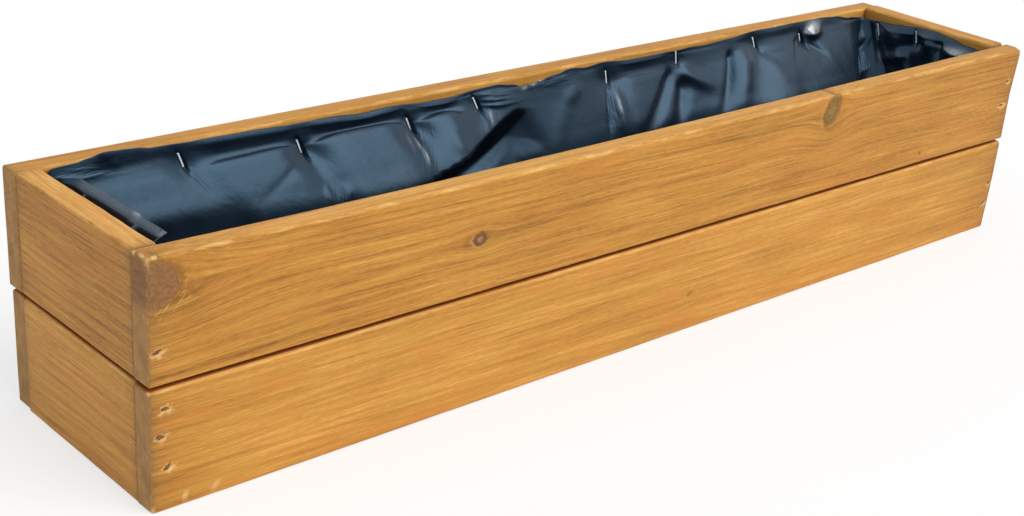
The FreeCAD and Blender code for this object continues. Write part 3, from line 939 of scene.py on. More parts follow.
        rim = np.maximum(arris[None, :] * level, np.sqrt(np.clip(1 - (2 * tilt ** 2 - 1) ** 2, 0, 1)))
        rim = rim * (toward[..., 0] == 0)
        sink, torn, grime = self.damage(local, rim, dents)
        local = local - facing * sink[..., None]
        tall = across[..., 0] / self.half[2]
        bow = np.sin(np.pi * np.clip(0.5 + 0.5 * along / run, 0, 1) ** self.bow_skew)
        local[..., 1] -= self.crook * bow * (1 + tall) / 2
        slant = np.where(tall > 0, self.cant[0], -self.cant[1]) * tall
        local[..., 0] += smooth_step(run - self.cant_reach, run, along) * slant
        world = np.empty_like(local)
        world[..., self.run] = self.middle[self.run] + local[..., 0]
        world[..., 2] = self.middle[2] + local[..., 1]
        world[..., self.side] = self.middle[self.side] + self.outward * local[..., 2]

        upward, downward = np.clip(facing[..., 1], 0, 1), np.clip(-facing[..., 1], 0, 1)
        half = self.half[self.side]
        # Covered is the top of a lower board that lies under the upper board. With the faces that look down
        # it makes the under mark, which carries painted shade.
        covered = smooth_step(half, half - self.rounding, np.abs(across[..., 1]))
        covered = covered * upward if "lower" in self.node else np.zeros_like(upward)
        inside = np.abs(along) - run
        # Marks for the finish: crown paints light on upward faces, under paints shade below and in the gap,
        # and arris carries wear that also serves as a painted highlight.
        marks = {"arris": rim * (1 - covered), "end": tilt ** 3, "torn": torn, "grime": grime,
                 "crown": upward ** 2, "under": np.maximum(downward, covered),
                 "near_end": np.exp(inside / self.dirt), "soak": np.exp(inside / self.soak)}
        piece = grid_piece(f"{self.node}_dressed", world, marks, True)
        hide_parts(self.node)
        return piece

    def damage(self, local: np.ndarray, rim: np.ndarray, dents: np.ndarray
               ) -> Tuple[np.ndarray, np.ndarray, np.ndarray]:
        """Works out how far each point is worn, chipped or dented in.

        Wear is noise along the arris; a chip is a bell of its distance with noise on it; a nail dent
        is a ragged slit, each at its own slant, with torn fibre round it.

        Args:
            local: points along, up and out, from the board's middle.
            rim: how near each is to an arris.
            dents: places of the nail dents.

        Returns:
            The depth, the share of torn wood and the share of grime at each point.
        """
        along, up, out = np.moveaxis(local, -1, 0)
        girth = (up + 2 * out) / 40
        fine = lattice_noise(along / 11 + 7, girth + 3, self.seed)
        coarse = lattice_noise(along / 47, girth, self.seed + 1)
        sink = rim * self.wear * np.clip(fine * 0.7 + coarse * 0.9 - 0.35, 0, 1)
        sink = sink + self.unevenness * lattice_noise(along / 60, (up + out) / 18, self.seed + 2)
        torn, grime = np.zeros_like(sink), np.zeros_like(sink)
        rough = lattice_noise(along / 1.7, (up + out) / 1.3, self.seed + 3)
        for chip in self.chips:
            offset = np.array(chip.place) - self.middle
            apart = (along - offset[self.run]) ** 2 + (up - offset[2]) ** 2
            apart = apart + (out - self.outward * offset[self.side]) ** 2
            bite = np.exp(-apart / chip.radius ** 2)
            sink = sink + bite * chip.depth * (0.45 + 0.75 * rough)
            torn = np.maximum(torn, smooth_step(0.25, 0.75, bite + 0.45 * (rough - 0.5)))
        outer = out > self.half[self.side] - 1
        beyond = 99.0
        least, spread = (-0.6, 2.4, 0.8, 0.45), (1.2, 2.0, 0.5, 0.5)
        for number, (place, height) in enumerate(dents):
            lots = np.random.default_rng(self.seed * 10 + number).random(4)
            slant, length, width, fray = lots * spread + least
            aside, above = along - place, up - height
            slit = np.hypot((aside * math.cos(slant) + above * math.sin(slant)) / length,
                            (above * math.cos(slant) - aside * math.sin(slant)) / width)
            slit = np.where(outer, slit + 0.9 * (rough - 0.5), beyond)
            sink = sink + self.dent_depth * smooth_step(1.3, 0.6, slit)
            grime = np.maximum(grime, 0.80 * smooth_step(1.2, 0.7, slit))
            fibre = np.where(outer, np.hypot((aside - 1.2) / 5.5, (above + 0.9) / 3.4), beyond)
            frayed = fray * smooth_step(1.2, 0.5, fibre + 1.3 * (rough - 0.5))
            torn = np.maximum(torn, frayed * (grime < 0.3))
        return sink, torn, grime


@dataclass
class BoxWalls:
    """The eight boards of the box, front and back full length, ends between them."""

    pine: StainedPine = StainedPine()
    first_seed: int = 21

    @staticmethod
    def figures() -> Dict[str, Figure]:
        """Gives the grain and the knots of each board, by its node."""
        front_knots = (
            Knot(-492, 172, 19, 18, push=0.85, speckle=0.25, pale=0.0, strokes=0.35,
                 colour=(0.280, 0.135, 0.052)),
            Knot(-214, 143, 7.0, 5.5, push=0.9, streak=95, speckle=1.2, pale=0.25,
                 colour=(0.165, 0.078, 0.030), heart=(0.40, 0.25, 0.12)),
            Knot(202, 177, 10, 15.5, tilt=-0.5, pale=0.1, colour=(0.238, 0.130, 0.032),
                 heart=(0.32, 0.185, 0.050)),
            Knot(355, 108, 2.6, 1.8, colour=(0.40, 0.16, 0.028)),
        )
        front_low_knots = (Knot(37, 35, 4.0, 1.6, tilt=0.5, colour=(0.41, 0.19, 0.038)),)
        back_knots = (Knot(-120, 150, 11, 9, push=0.9), Knot(310, 128, 8, 6.5, push=0.9, speckle=0.7))
        back_low_knots = (Knot(60, 52, 12, 9, push=0.9), Knot(-350, 30, 5, 4))
        # The crown values are painted light on the upward faces. The front lower board's eased top edge,
        # below the gap, gets the most.
        return {
            "front_upper_board": Figure(75, -12, 4.4, 0.012, 6, 3.1, -0.10, front_knots, 0.22, 1.15),
            "front_lower_board": Figure(-42, -20, 5.0, 0.035, 8, 11.7, 0.0, front_low_knots, 0.60, soak=0.28),
            "back_upper_board": Figure(40, 12, 4.8, 0.015, 7, 5.3, 0.0, back_knots, -0.06),
            "back_lower_board": Figure(130, 20, 4.6, 0.02, 6, 8.9, 0.02, back_low_knots),
            "left_upper_end_board": Figure(60, -420, 4.6, 0.02, 5, 2.2, -0.20, crown=0.40, contrast=1.3),
            "left_lower_end_board": Figure(-30, -430, 5.0, 0.03, 6, 6.6, -0.06, crown=0.45, contrast=1.3),
            "right_upper_end_board": Figure(70, 425, 4.8, 0.02, 6, 9.4),
            "right_lower_end_board": Figure(-35, 420, 4.6, 0.03, 6, 13.2, 0.02),
        }

    def boards(self) -> List[WallBoard]:
        """Lists the boards; the front ones have chips, ends out of square, and the upper one a crook."""
        upper_chips = (Chip((-500, -100, 193), 6.0, 3.6), Chip((-499, -92, 193), 2.6, 1.2),
                       Chip((-493, -99, 193), 2.6, 0.9), Chip((-500, -84, 192), 2.4, 0.9),
                       Chip((500, -98, 193), 3.5, 1.5))
        lower_chips = (Chip((-474, -100, 9), 2.4, 0.7), Chip((-448, -100, 6), 2.0, 0.7),
                       Chip((-500, -100, 2), 3.0, 1.6), Chip((-500, -98, 94), 2.4, 1.4),
                       Chip((500, -100, 98), 3.0, 1.4))
        own: Dict[str, Dict[str, object]] = {
            "front_upper_board": {"chips": upper_chips, "cant": (4.0, 1.0), "crook": 3.0},
            "front_lower_board": {"chips": lower_chips, "cant": (0.0, -2.5)},
        }
        found = []
        for seed, (node, figure) in enumerate(self.figures().items(), self.first_seed):
            grain = Grain.ACROSS if "end" in node else Grain.ALONG
            outward = -1.0 if node.startswith(("front", "left")) else 1.0
            found.append(WallBoard(node, grain, outward, figure, seed, **own.get(node, {})))
        return found

    def dress(self) -> List[bpy.types.Object]:
        """Builds every board and gives it its own wood."""
        nails = node_points("corner_nails")
        pieces = []
        for board in self.boards():
            piece = board.build(nails)
            wood = self.pine.material(f"stained_{board.node}", board.figure, board.grain)
            piece.data.materials.append(wood)
            pieces.append(piece)
        return pieces


# Film liner

class Wall(Enum):
    """The inner walls in the order that the film goes round them, each with its axis and its sign."""

    FRONT = (0, 1)
    RIGHT = (1, 1)
    BACK = (0, -1)
    LEFT = (1, -1)

    @property
    def number(self) -> int:
        """Gives the wall's place in that order."""
        return list(Wall).index(self)


class Cut(Enum):
    """The section of a fold in the film."""

    SOFT = "a round swell"
    SHARP = "a crest with hollow flanks"
    LAP = "a lip, and beyond it film that lies flat against the wall"


@dataclass(frozen=True)
class Fold:
    """A fold in the film, from one place on a wall to another, as (place along the wall's axis, height)."""

    wall: Wall
    start: Point
    end: Point
    half_width: float
    rise: float
    cut: Cut = Cut.SOFT
    bow: float = 0.0

    def lift(self, place: np.ndarray, height: np.ndarray, stand: np.ndarray) -> np.ndarray:
        """Gives how far the fold lifts the film off the wall.

        The place is turned into a share along the fold and a distance from its line, which may bow.
        The section of that distance is faded out past both ends.

        Args:
            place: place along the wall, rows by columns.
            height: height of each point.
            stand: how far each point stands off the wall.

        Returns:
            The lift in millimetres.
        """
        share, off = self._about(place, height)
        if self.cut is Cut.LAP:
            return self._lap(share, off, stand)
        off = off / self.half_width
        fade = smooth_step(-0.10, 0.18, share) * smooth_step(1.10, 0.35, share)
        if self.cut is Cut.SOFT:
            return self.rise * fade * np.exp(-off ** 2)
        blunt, peak, slope = 0.03, 0.17, 1.4
        return self.rise * fade * np.exp(-(np.sqrt(off ** 2 + blunt) - peak) * slope)

    def _about(self, place: np.ndarray, height: np.ndarray) -> Tuple[np.ndarray, np.ndarray]:
        """Gives the share of the way along the fold, and the distance from its bowed line."""
        run, rise = self.end[0] - self.start[0], self.end[1] - self.start[1]
        length = math.hypot(run, rise)
        share = ((place - self.start[0]) * run + (height - self.start[1]) * rise) / length ** 2
        off = ((height - self.start[1]) * run - (place - self.start[0]) * rise) / length
        return share, off - self.bow * 4 * share * (1 - share)

    def _lap(self, share: np.ndarray, off: np.ndarray, stand: np.ndarray) -> np.ndarray:
        """Lifts the lip on one side of the line and takes up the stand over a growing width on the other.

        Args:
            share: share of the way along the fold.
            off: distance from its line, negative on the side of the lip.
            stand: how far each point stands off the wall.

        Returns:
            The lift in millimetres.
        """
        lip_reach, flat, steep_recover, shallow, slow_recover = 28.0, 9.0, 22.0, 12.5, 84.0
        fade = smooth_step(-0.06, 0.14, share) * smooth_step(1.75, 1.45, share)
        inner, outer = self._hollow(share, off, steep_recover), self._hollow(share, off, slow_recover)
        lip = np.exp(-(np.minimum(off, 0.0) / lip_reach) ** 2) * smooth_step(0.0, 0.8, share)
        spare = np.maximum(stand - flat, 0.0)
        sink = np.maximum(inner * spare, outer * np.minimum(spare, shallow))
        return fade * (self.rise * lip * (1 - outer) - sink)

    def _hollow(self, share: np.ndarray, off: np.ndarray, recover: float) -> np.ndarray:
        """Gives 1 in the hollow beyond the lip, which widens along the fold and runs out past its edge."""
        edge = 3.0
        wide = self.half_width * np.clip(share + 0.01, 0.0, None) ** 0.45
        return smooth_step(-0.6 * edge, 1.4 * edge, off) * smooth_step(wide + recover, wide, off)

    def shade(self, place: np.ndarray, height: np.ndarray) -> np.ndarray:
        """Gives 1 where the hollow beyond a lip lies in the dark."""
        penumbra = 5.0
        share, off = self._about(place, height)
        fade = smooth_step(0.0, 0.10, share) * smooth_step(1.7, 1.4, share)
        return self._hollow(share, off, penumbra) * fade


@dataclass
class SlackFilm:
    """The film liner: a slack trough hung from its staples, flared at one end and crumpled at the other."""

    film: LinerFilm = LinerFilm()
    thick: float = 0.35
    clear: float = 0.3
    rim_corner: float = 10.0
    low_corners: Tuple[float, float, float, float] = (37.0, 13.0, 37.0, 37.0)
    end_share: float = 0.65
    lean: float = 0.45
    loose_stand: Point = (1.0, 9.0)
    least_lift: float = 0.35
    corner_ease: float = 0.6
    ripple: float = 0.8
    ripple_length: float = 17.0
    swag: float = 18.0
    swag_hold: float = 0.7
    staple_reach: float = 20.0
    pinch_width: float = 2.5
    pinch_height: float = 9.6
    draw_reach: Point = (14.0, 12.0)
    draw: float = 0.62
    flared_pinch: float = 0.72
    flared_draw: float = 0.1
    batten_gap: float = 1.0
    beside_batten: Point = (36.0, 3.0)
    above_batten: Point = (28.0, 1.5)
    pin_crowd: Point = (9.0, 2.4)
    busy_levels: Triple = (3.0, 5.0, 7.0)
    level_crowd: Point = (1.9, 2.0)
    columns: Tuple[int, int, int, int] = (56, 64, 396, 44)
    corner_columns: int = 8
    wall_rows: int = 68
    floor_rows: int = 10
    usual_stand: Tuple[float, ...] = (0.3, 0.8, 1.5, 2.7, 4.6, 7.8, 13.0, 21.0, 29.0, 34.0, 38.0, 48.0)
    corner_growth: Tuple[float, ...] = (0, 0, 0, 0, 0.04, 0.11, 0.26, 0.56, 0.89, 1.0, 1.0, 0.6)
    crease: float = 2.4
    floor_rise: float = 1.2
    cut_width: float = 0.380
    cut_length: float = 1.200

    def __post_init__(self) -> None:
        """Takes the inner sizes of the box and the staples from the frame."""
        self.half_length = -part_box("left_upper_end_board")[1][0] / MM
        self.half_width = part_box("back_upper_board")[0][1] / MM
        self.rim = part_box("back_upper_board")[1][2] / MM
        self.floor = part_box("floor_slat_5")[1][2] / MM
        self.pins = {wall: self.staples(wall) for wall in Wall}

    def folds(self) -> List[Fold]:
        """Lists the folds that show, wall by wall."""
        back, right, left = Wall.BACK, Wall.RIGHT, Wall.LEFT
        soft, sharp, lap = Cut.SOFT, Cut.SHARP, Cut.LAP
        return [
            Fold(back, (-431, 200), (-426, 184), 6.0, 5.0),
            Fold(back, (-468, 183), (-425, 181), 2.0, 2.4, sharp, -2.0),
            Fold(back, (-466, 180), (-446, 171), 2.2, 1.8, sharp),
            Fold(back, (-426, 187), (-419, 180), 2.2, 3.0, sharp, 2.0),
            Fold(back, (-361, 171), (-345, 148), 2.4, -0.9, sharp),
            Fold(back, (-257, 164), (-308, 140), 2.8, -1.3, sharp),
            Fold(back, (-246, 140), (-240, 114), 3.2, 1.6),
            Fold(back, (-226, 138), (-234, 112), 4.0, 1.8),
            Fold(back, (-152, 164), (-148, 148), 2.2, 1.6, sharp),
            Fold(back, (-150, 166), (-140, 134), 2.6, 2.6, sharp, 4.0),
            Fold(back, (-112, 158), (-96, 142), 6.0, 1.6),
            Fold(back, (-66, 168), (-66, 146), 3.0, 1.8, sharp),
            Fold(back, (-60, 172), (-56, 150), 3.0, 1.4, sharp),
            Fold(back, (-66, 183), (-22, 177), 1.8, 2.2, sharp),
            Fold(back, (-66, 178), (-20, 174), 1.8, 2.2, sharp),
            Fold(back, (-66, 173), (-20, 171), 1.8, 2.2, sharp),
            Fold(back, (-12, 175), (-142, 125), 29.0, 4.0, lap, 3.0),
            Fold(back, (30, 160), (6, 116), 9.0, 1.2),
            Fold(back, (52, 176), (26, 158), 7.0, 1.8),
            Fold(back, (88, 166), (80, 116), 4.5, -2.6, sharp),
            Fold(back, (96, 166), (104, 112), 6.0, 2.8),
            Fold(back, (176, 170), (116, 118), 7.0, -5.5, soft, 4.0),
            Fold(back, (186, 174), (238, 150), 7.0, 4.0, soft, -5.0),
            Fold(back, (190, 160), (170, 112), 8.0, -4.5),
            Fold(back, (262, 180), (228, 122), 4.6, -5.5, soft, 4.0),
            Fold(back, (284, 178), (250, 118), 9.0, 3.6),
            Fold(back, (300, 172), (336, 138), 8.0, 2.0),
            Fold(back, (362, 176), (344, 152), 3.0, -2.4, sharp),
            Fold(back, (378, 170), (402, 156), 3.0, -3.2, sharp),
            Fold(back, (366, 166), (384, 152), 6.0, 2.2, soft, 4.0),
            Fold(back, (380, 180), (408, 187), 6.0, 9.0),
            Fold(back, (462, 172), (428, 118), 2.6, 2.6, sharp),
            Fold(back, (470, 176), (456, 112), 4.5, -3.0, sharp),
            Fold(right, (-24, 186), (48, 178), 3.0, 3.2, sharp),
            Fold(right, (-4, 178), (30, 164), 7.0, -6.5),
            Fold(right, (14, 160), (46, 147), 5.0, 5.0),
            Fold(right, (-23, 184), (-26, 160), 3.6, -5.5),
            Fold(right, (-12, 182), (-6, 160), 4.0, 3.0),
            Fold(right, (-62, 181), (-30, 174), 7.0, 4.5),
            Fold(right, (52, 142), (60, 122), 5.0, 4.0),
            Fold(right, (66, 178), (64, 122), 3.0, -7.0, sharp),
            Fold(left, (-22, 191), (-34, 190), 4.0, 1.2),
        ]

    def hem(self, wall: Wall, place: np.ndarray) -> np.ndarray:
        """Gives the height of the film's top edge along a wall."""
        below = {
            Wall.FRONT: [(-480, 6.5), (-300, 5.5), (-120, 7.0), (60, 6.0), (260, 7.5), (480, 6.0)],
            Wall.RIGHT: [(-80, 8.0), (-50, 7.0), (-31, 3.8), (-11, 2.2), (8, 3.0), (27, 5.7), (46, 8.2),
                         (80, 10.0)],
            Wall.BACK: [(-480, 2.6), (-465, 2.2), (-453, 1.8), (-441, -0.4), (-430, -3.6), (-416, -2.0),
                        (-404, -1.0), (-390, 1.2), (-352, 2.0), (-300, 3.0), (-255, 4.4), (-225, 4.0),
                        (-195, 6.2), (-164, 5.4), (-125, 7.8), (-99, 7.8), (-65, 5.2), (-46, 4.8),
                        (-28, 7.2), (-11, 12.5), (8, 8.4), (25, 5.8), (43, 2.9), (62, 4.6), (84, 2.8),
                        (121, 5.4), (225, 5.2), (262, 3.8), (292, 0.9), (345, 0.7), (400, 0.6), (430, 2.5),
                        (452, 6.5), (480, 9.5)],
            Wall.LEFT: [(-80, 4.8), (-40, 4.3), (0, 4.4), (45, 4.6), (80, 3.2)],
        }[wall]
        flutter = lattice_noise(place / self.ripple_length, np.full_like(place, 0.5), 61) - 0.5
        return self.rim - swelling(below, place) + self.ripple * flutter

    def pocket(self, wall: Wall, place: np.ndarray) -> np.ndarray:
        """Gives how far the film stands up and out from its staple line, from 0, hung, to 1, puffed."""
        swell = {
            Wall.FRONT: [(-480, 0.1), (-250, 0.7), (0, 0.3), (250, 0.6), (480, 0.1)],
            Wall.RIGHT: [(-80, 0.0), (80, 0.0)],
            Wall.BACK: [(-480, 0.0), (-410, 0.1), (-372, 0.15), (-335, 0.6), (-220, 1.0), (-110, 0.95),
                        (-78, 0.25), (-60, 0.0), (70, 0.0), (125, 0.5), (165, 0.4), (200, 0.05), (240, 0.1),
                        (300, 0.2), (345, 0.25), (372, 0.0), (480, 0.0)],
            Wall.LEFT: [(-80, 0.0), (80, 0.0)],
        }[wall]
        return swelling(swell, place)

    def levels(self, hem: np.ndarray, shares: Mapping[str, np.ndarray]) -> np.ndarray:
        """Lays out the film's section at each column as points (stand off the wall, height).

        Five sections are blended: hung in a long slope, hung more steeply, bulged out over a hollow,
        puffed up above the staple line, and flared off the wall with its hem curled over.

        Args:
            hem: height of the top edge.
            shares: each column's share of a section, by its name, of the drop below the slope and of
                the lean.

        Returns:
            Columns by points by two.
        """
        near, foot = self.clear, self.floor
        low = [(34.0, foot + 44), (38.0, foot + 12.8), (48.0, foot + 0.6)]
        sections = {
            "hung": [(near, hem), (near + 0.5, hem - 3), (2.0, 183), (4.4, 177.5), (7.2, 171.5),
                     (10.0, 165.5), (14.6, 156), (22.0, 141), (29.5 - 5 * shares["drop"], 123)],
            "steep": [(near, hem), (near + 0.3, hem - 3), (near + 0.9, 183), (2.2, 177.5), (3.8, 171.5),
                      (5.5, 165.5), (8.5, 156), (13.6, 141), (19.5, 123)],
            "bulged": [(near, hem), (4.0, hem - 2.5), (8.0, hem - 6.5), (10.0, hem - 12), (9.5, hem - 18),
                       (8.5, 163), (8.5, 155), (10.0, 141), (14.0, 123)],
            "puffed": [(0.6, hem), (2.8, hem - 4.5), (1.4, 180.5), (0.8, 176), (3.0, 174.2), (7.5, 175.6),
                       (13.5, 168), (25.0, 148), (35.0, 123)],
            "flared": [(16.4, hem + 2.2), (14.4, hem + 0.9), (12.2, hem - 0.5), (10.6, hem - 3.2),
                       (9.6, hem - 9), (8.2, 171), (8.4, 162), (13.0, 141), (19.0, 123)],
        }
        loose = np.zeros((len(hem), len(self.usual_stand), 2))
        for name, section in sections.items():
            points = [np.broadcast_arrays(stand + 0 * hem, height + 0 * hem)
                      for stand, height in section + low]
            spread = np.moveaxis(np.array(points), 2, 0)
            share = shares.get(name, np.ones_like(hem))[:, None, None]
            loose = loose * (1 - share) + spread * share
        loose[..., 0] *= 1 + self.lean * shares["lean"][:, None]
        return loose

    def marks(self, points: np.ndarray) -> Dict[str, np.ndarray]:
        """Marks where the film is crinkled, dull, in the dark or glinting, as bells about places.

        Args:
            points: the film's points.

        Returns:
            The marks by name, for the film's finish.
        """
        x, y, z = np.moveaxis(points, -1, 0)
        back, left, right = smooth_step(20, 40, y), smooth_step(-430, -455, x), smooth_step(455, 462, x)
        flat = [(-46, 177, 26, 8), (-446, 184, 24, 6), (20, 182, 30, 5), (385, 184, 16, 6)]
        steep = [(-140, 152, 12, 18), (-62, 160, 12, 14), (92, 142, 14, 24), (-236, 126, 10, 12),
                 (455, 150, 12, 24)]
        dull = [(-18, 136, 58, 28)]
        creases = [(380, 182, 6, 5), (390, 186, 9, 6), (-14, 181, 3, 1.6), (-3, 183, 3, 1.6),
                   (7, 185, 2.5, 1.6)]
        seams = [(-153, 160, 1.6, 5), (-145, 159, 1.6, 5), (-140, 149, 1.8, 7), (-58, 164, 1.5, 5),
                 (97, 150, 1.6, 9)]
        left_crease, left_corner, left_strip = [(-26, 191, 5, 1.6)], [(-70, 190, 10, 4)], [(-464, 190, 5, 3)]
        right_creases = [(52, 177, 5, 3), (-46, 179, 14, 3), (30, 153, 12, 4)]
        strip = 0.16 * bells(x, z, left_strip) * smooth_step(60, 30, y) + 0.30 * bells(y, z, left_corner)
        ends = np.maximum(bells(y, z, left_crease), strip) * left + bells(y, z, right_creases) * right
        middle = np.maximum(bells(x, z, creases), 0.3 * bells(x, z, seams)) * back * (1 - right)
        hollow = np.max([fold.shade(x, z) for fold in self.folds() if fold.cut is Cut.LAP], axis=0)
        return {"flat_crinkle": bells(x, z, flat) * back, "steep_crinkle": bells(x, z, steep) * back,
                "hollow": hollow * back, "dull": bells(x, z, dull) * back * (1 - hollow),
                "glint": middle + ends}

    def round_walls(self) -> Tuple[np.ndarray, np.ndarray, np.ndarray]:
        """Lays out the columns round the walls, crowded at the staples.

        Returns:
            Each column's wall by number, its share along the wall from -1 to 1, and its turn round the
            corner at the wall's end.
        """
        walls, shares, turns = [], [], []
        for number, (side, count) in enumerate(zip(Wall, self.columns)):
            reach = (self.half_length, self.half_width)[number % 2] - self.rim_corner
            pins = [pin[0] * side.value[1] / reach for pin in self.pins[side]]
            share = graded(-1, 1, count + 1, pins, self.pin_crowd[0] / reach, self.pin_crowd[1])[:-1]
            turn = np.linspace(0, np.pi / 2, self.corner_columns + 1)[:-1]
            walls.append(np.full(len(share) + len(turn), number))
            shares.append(np.concatenate([share, np.ones(len(turn))]))
            turns.append(np.concatenate([np.zeros(len(share)), turn]))
        return np.concatenate(walls), np.concatenate(shares), np.concatenate(turns)

    def surface(self) -> np.ndarray:
        """Works out the film's points: sections swept round the walls, folds, crinkles, then the floor.

        A column stands on a straight wall or on a corner's arc. Its section gives stand and height
        down the wall. Folds and crinkles add to the stand, which is held off the walls and battens,
        and the stand is laid off along the inward normal of a rounded outline that narrows downwards.

        Returns:
            Rows by columns by three, from the hem down to the middle line of the floor.
        """
        count = len(self.usual_stand)
        levels = graded(0, count - 1, self.wall_rows, self.busy_levels, *self.level_crowd)
        weights = spline_weights(levels, count)
        wall, share, turn = self.round_walls()
        long_wall = wall % 2 == 0
        base = weights @ np.array(self.usual_stand)
        end_base = np.maximum(base * self.end_share, self.clear)
        off = np.where(long_wall[None, :], base[:, None], end_base[:, None])
        ground, facing = self.outline(weights, wall, share, turn, base, end_base)

        axis = np.array([side.value[0] for side in Wall])
        place = np.take_along_axis(ground, axis[wall][None, :, None], axis=2)[..., 0]
        hem, shares = self.edges(wall, share, turn, place[0])
        section = np.einsum("tk,skc->tsc", weights, self.levels(hem, shares))
        stand, height = section[..., 0], section[..., 1]
        full = np.where(long_wall, np.cos(turn) ** 2, np.maximum(shares["flared"], shares["bulged"]))
        stand = np.maximum(stand * (self.end_share + (1 - self.end_share) * full)[None, :], self.clear)

        lift = np.zeros_like(stand)
        for fold in self.folds():
            mine = wall == fold.wall.number
            lift[:, mine] += fold.lift(place[:, mine], height[:, mine], stand[:, mine])
        lift = lift + self.crinkles(wall, place, height)
        free = smooth_step(*self.loose_stand, stand)
        lift = lift * np.where(lift > 0, self.least_lift + (1 - self.least_lift) * free, free)
        grip, draw = self.pinch(wall, place, height)
        stand = (stand + lift) * (1 - draw) * (1 - grip) + self.clear * grip
        stand = np.maximum(stand, self.clearance(wall, place, height))

        spare = (stand - off) * np.where(turn > 0, self.corner_ease, 1.0)[None, :]
        wall_points = np.concatenate([ground + facing[None] * spare[..., None], height[..., None]], axis=-1)
        return np.concatenate([wall_points, self.floor_points(wall_points[-1])])

    @staticmethod
    def crinkles(wall: np.ndarray, place: np.ndarray, height: np.ndarray) -> np.ndarray:
        """Gives the loose film's wrinkles and waves: noise in slanting lines, strongest at the right end.

        Args:
            wall: each column's wall by number.
            place: place along the wall, rows by columns.
            height: height of each point.

        Returns:
            The lift in millimetres.
        """
        long_wall = wall % 2 == 0
        running = np.array([side.value[1] for side in Wall])
        lean = place * running[wall][None, :] * -1 + 0.7 * height
        crumple = np.where(long_wall[None, :], 0.3 + 0.6 * smooth_step(-60, 80, place),
                           np.where(wall == Wall.RIGHT.number, 2.4, 0.15)[None, :])
        tight = np.where(long_wall, 1.0, 1.7)
        wrinkle = ridged_noise(lean / 46 * tight + wall * 7.3, height / 95, 41, 2) - 0.45
        wave = lattice_noise(lean / 85 + wall * 3.1, height / 120, 43) - 0.5
        return crumple * (1.4 * wrinkle + 4.0 * wave)

    def outline(self, weights: np.ndarray, wall: np.ndarray, share: np.ndarray, turn: np.ndarray,
                base: np.ndarray, end_base: np.ndarray) -> Tuple[np.ndarray, np.ndarray]:
        """Lays out the rounded outline at each level: straight runs, joined by quarter circles.

        Args:
            weights: weights of the section's levels in each row.
            wall: each column's wall by number.
            share: its share along the wall.
            turn: its turn round the corner.
            base: each row's usual stand off the long walls.
            end_base: and off the end walls.

        Returns:
            The outline's points, rows by columns by two, and each column's way in.
        """
        spread = np.array(self.low_corners)[None, :] - self.rim_corner
        radius = self.rim_corner + (weights @ np.array(self.corner_growth))[:, None] * spread
        at_end = np.where(share[None, :] >= 0, radius[:, wall], radius[:, wall - 1])
        middle, along, inward, half = self.walls()
        long_wall = wall % 2 == 0
        off = np.where(long_wall[None, :], base[:, None], end_base[:, None])
        side_off = np.where(long_wall[None, :], end_base[:, None], base[:, None])
        reach = half[wall][None, :] - side_off - at_end
        facing = inward[wall] * np.cos(turn)[:, None] - along[wall] * np.sin(turn)[:, None]
        straight = middle[wall][None] + inward[wall][None] * off[..., None]
        straight = straight + along[wall][None] * (share[None, :] * reach)[..., None]
        hub = straight + inward[wall][None] * at_end[..., None]
        ground = np.where(turn[None, :, None] > 0, hub - facing[None] * at_end[..., None], straight)
        return ground, facing

    def walls(self) -> Tuple[np.ndarray, np.ndarray, np.ndarray, np.ndarray]:
        """Gives each wall's middle, its way along, its way in and its half length, in order."""
        along = np.array([[1.0, 0.0], [0.0, 1.0], [-1.0, 0.0], [0.0, -1.0]])
        inward = np.array([[0.0, 1.0], [-1.0, 0.0], [0.0, -1.0], [1.0, 0.0]])
        half = np.array([self.half_length, self.half_width] * 2)
        middle = -inward * half[[1, 0, 1, 0]][:, None]
        return middle, along, inward, half

    def staples(self, wall: Wall) -> List[Tuple[float, float, float]]:
        """Gives each staple of a wall: place along the wall, height, and lean of its crown."""
        found = []
        for wire in clusters(node_points(f"{wall.name.lower()}_staples"), self.staple_reach):
            flat = wire[:, [wall.value[0], 2]]
            place, height = (flat.min(axis=0) + flat.max(axis=0)) / 2
            spread = np.cov(flat.T)
            found.append((place, height, spread[0, 1] / spread[1, 1]))
        return found

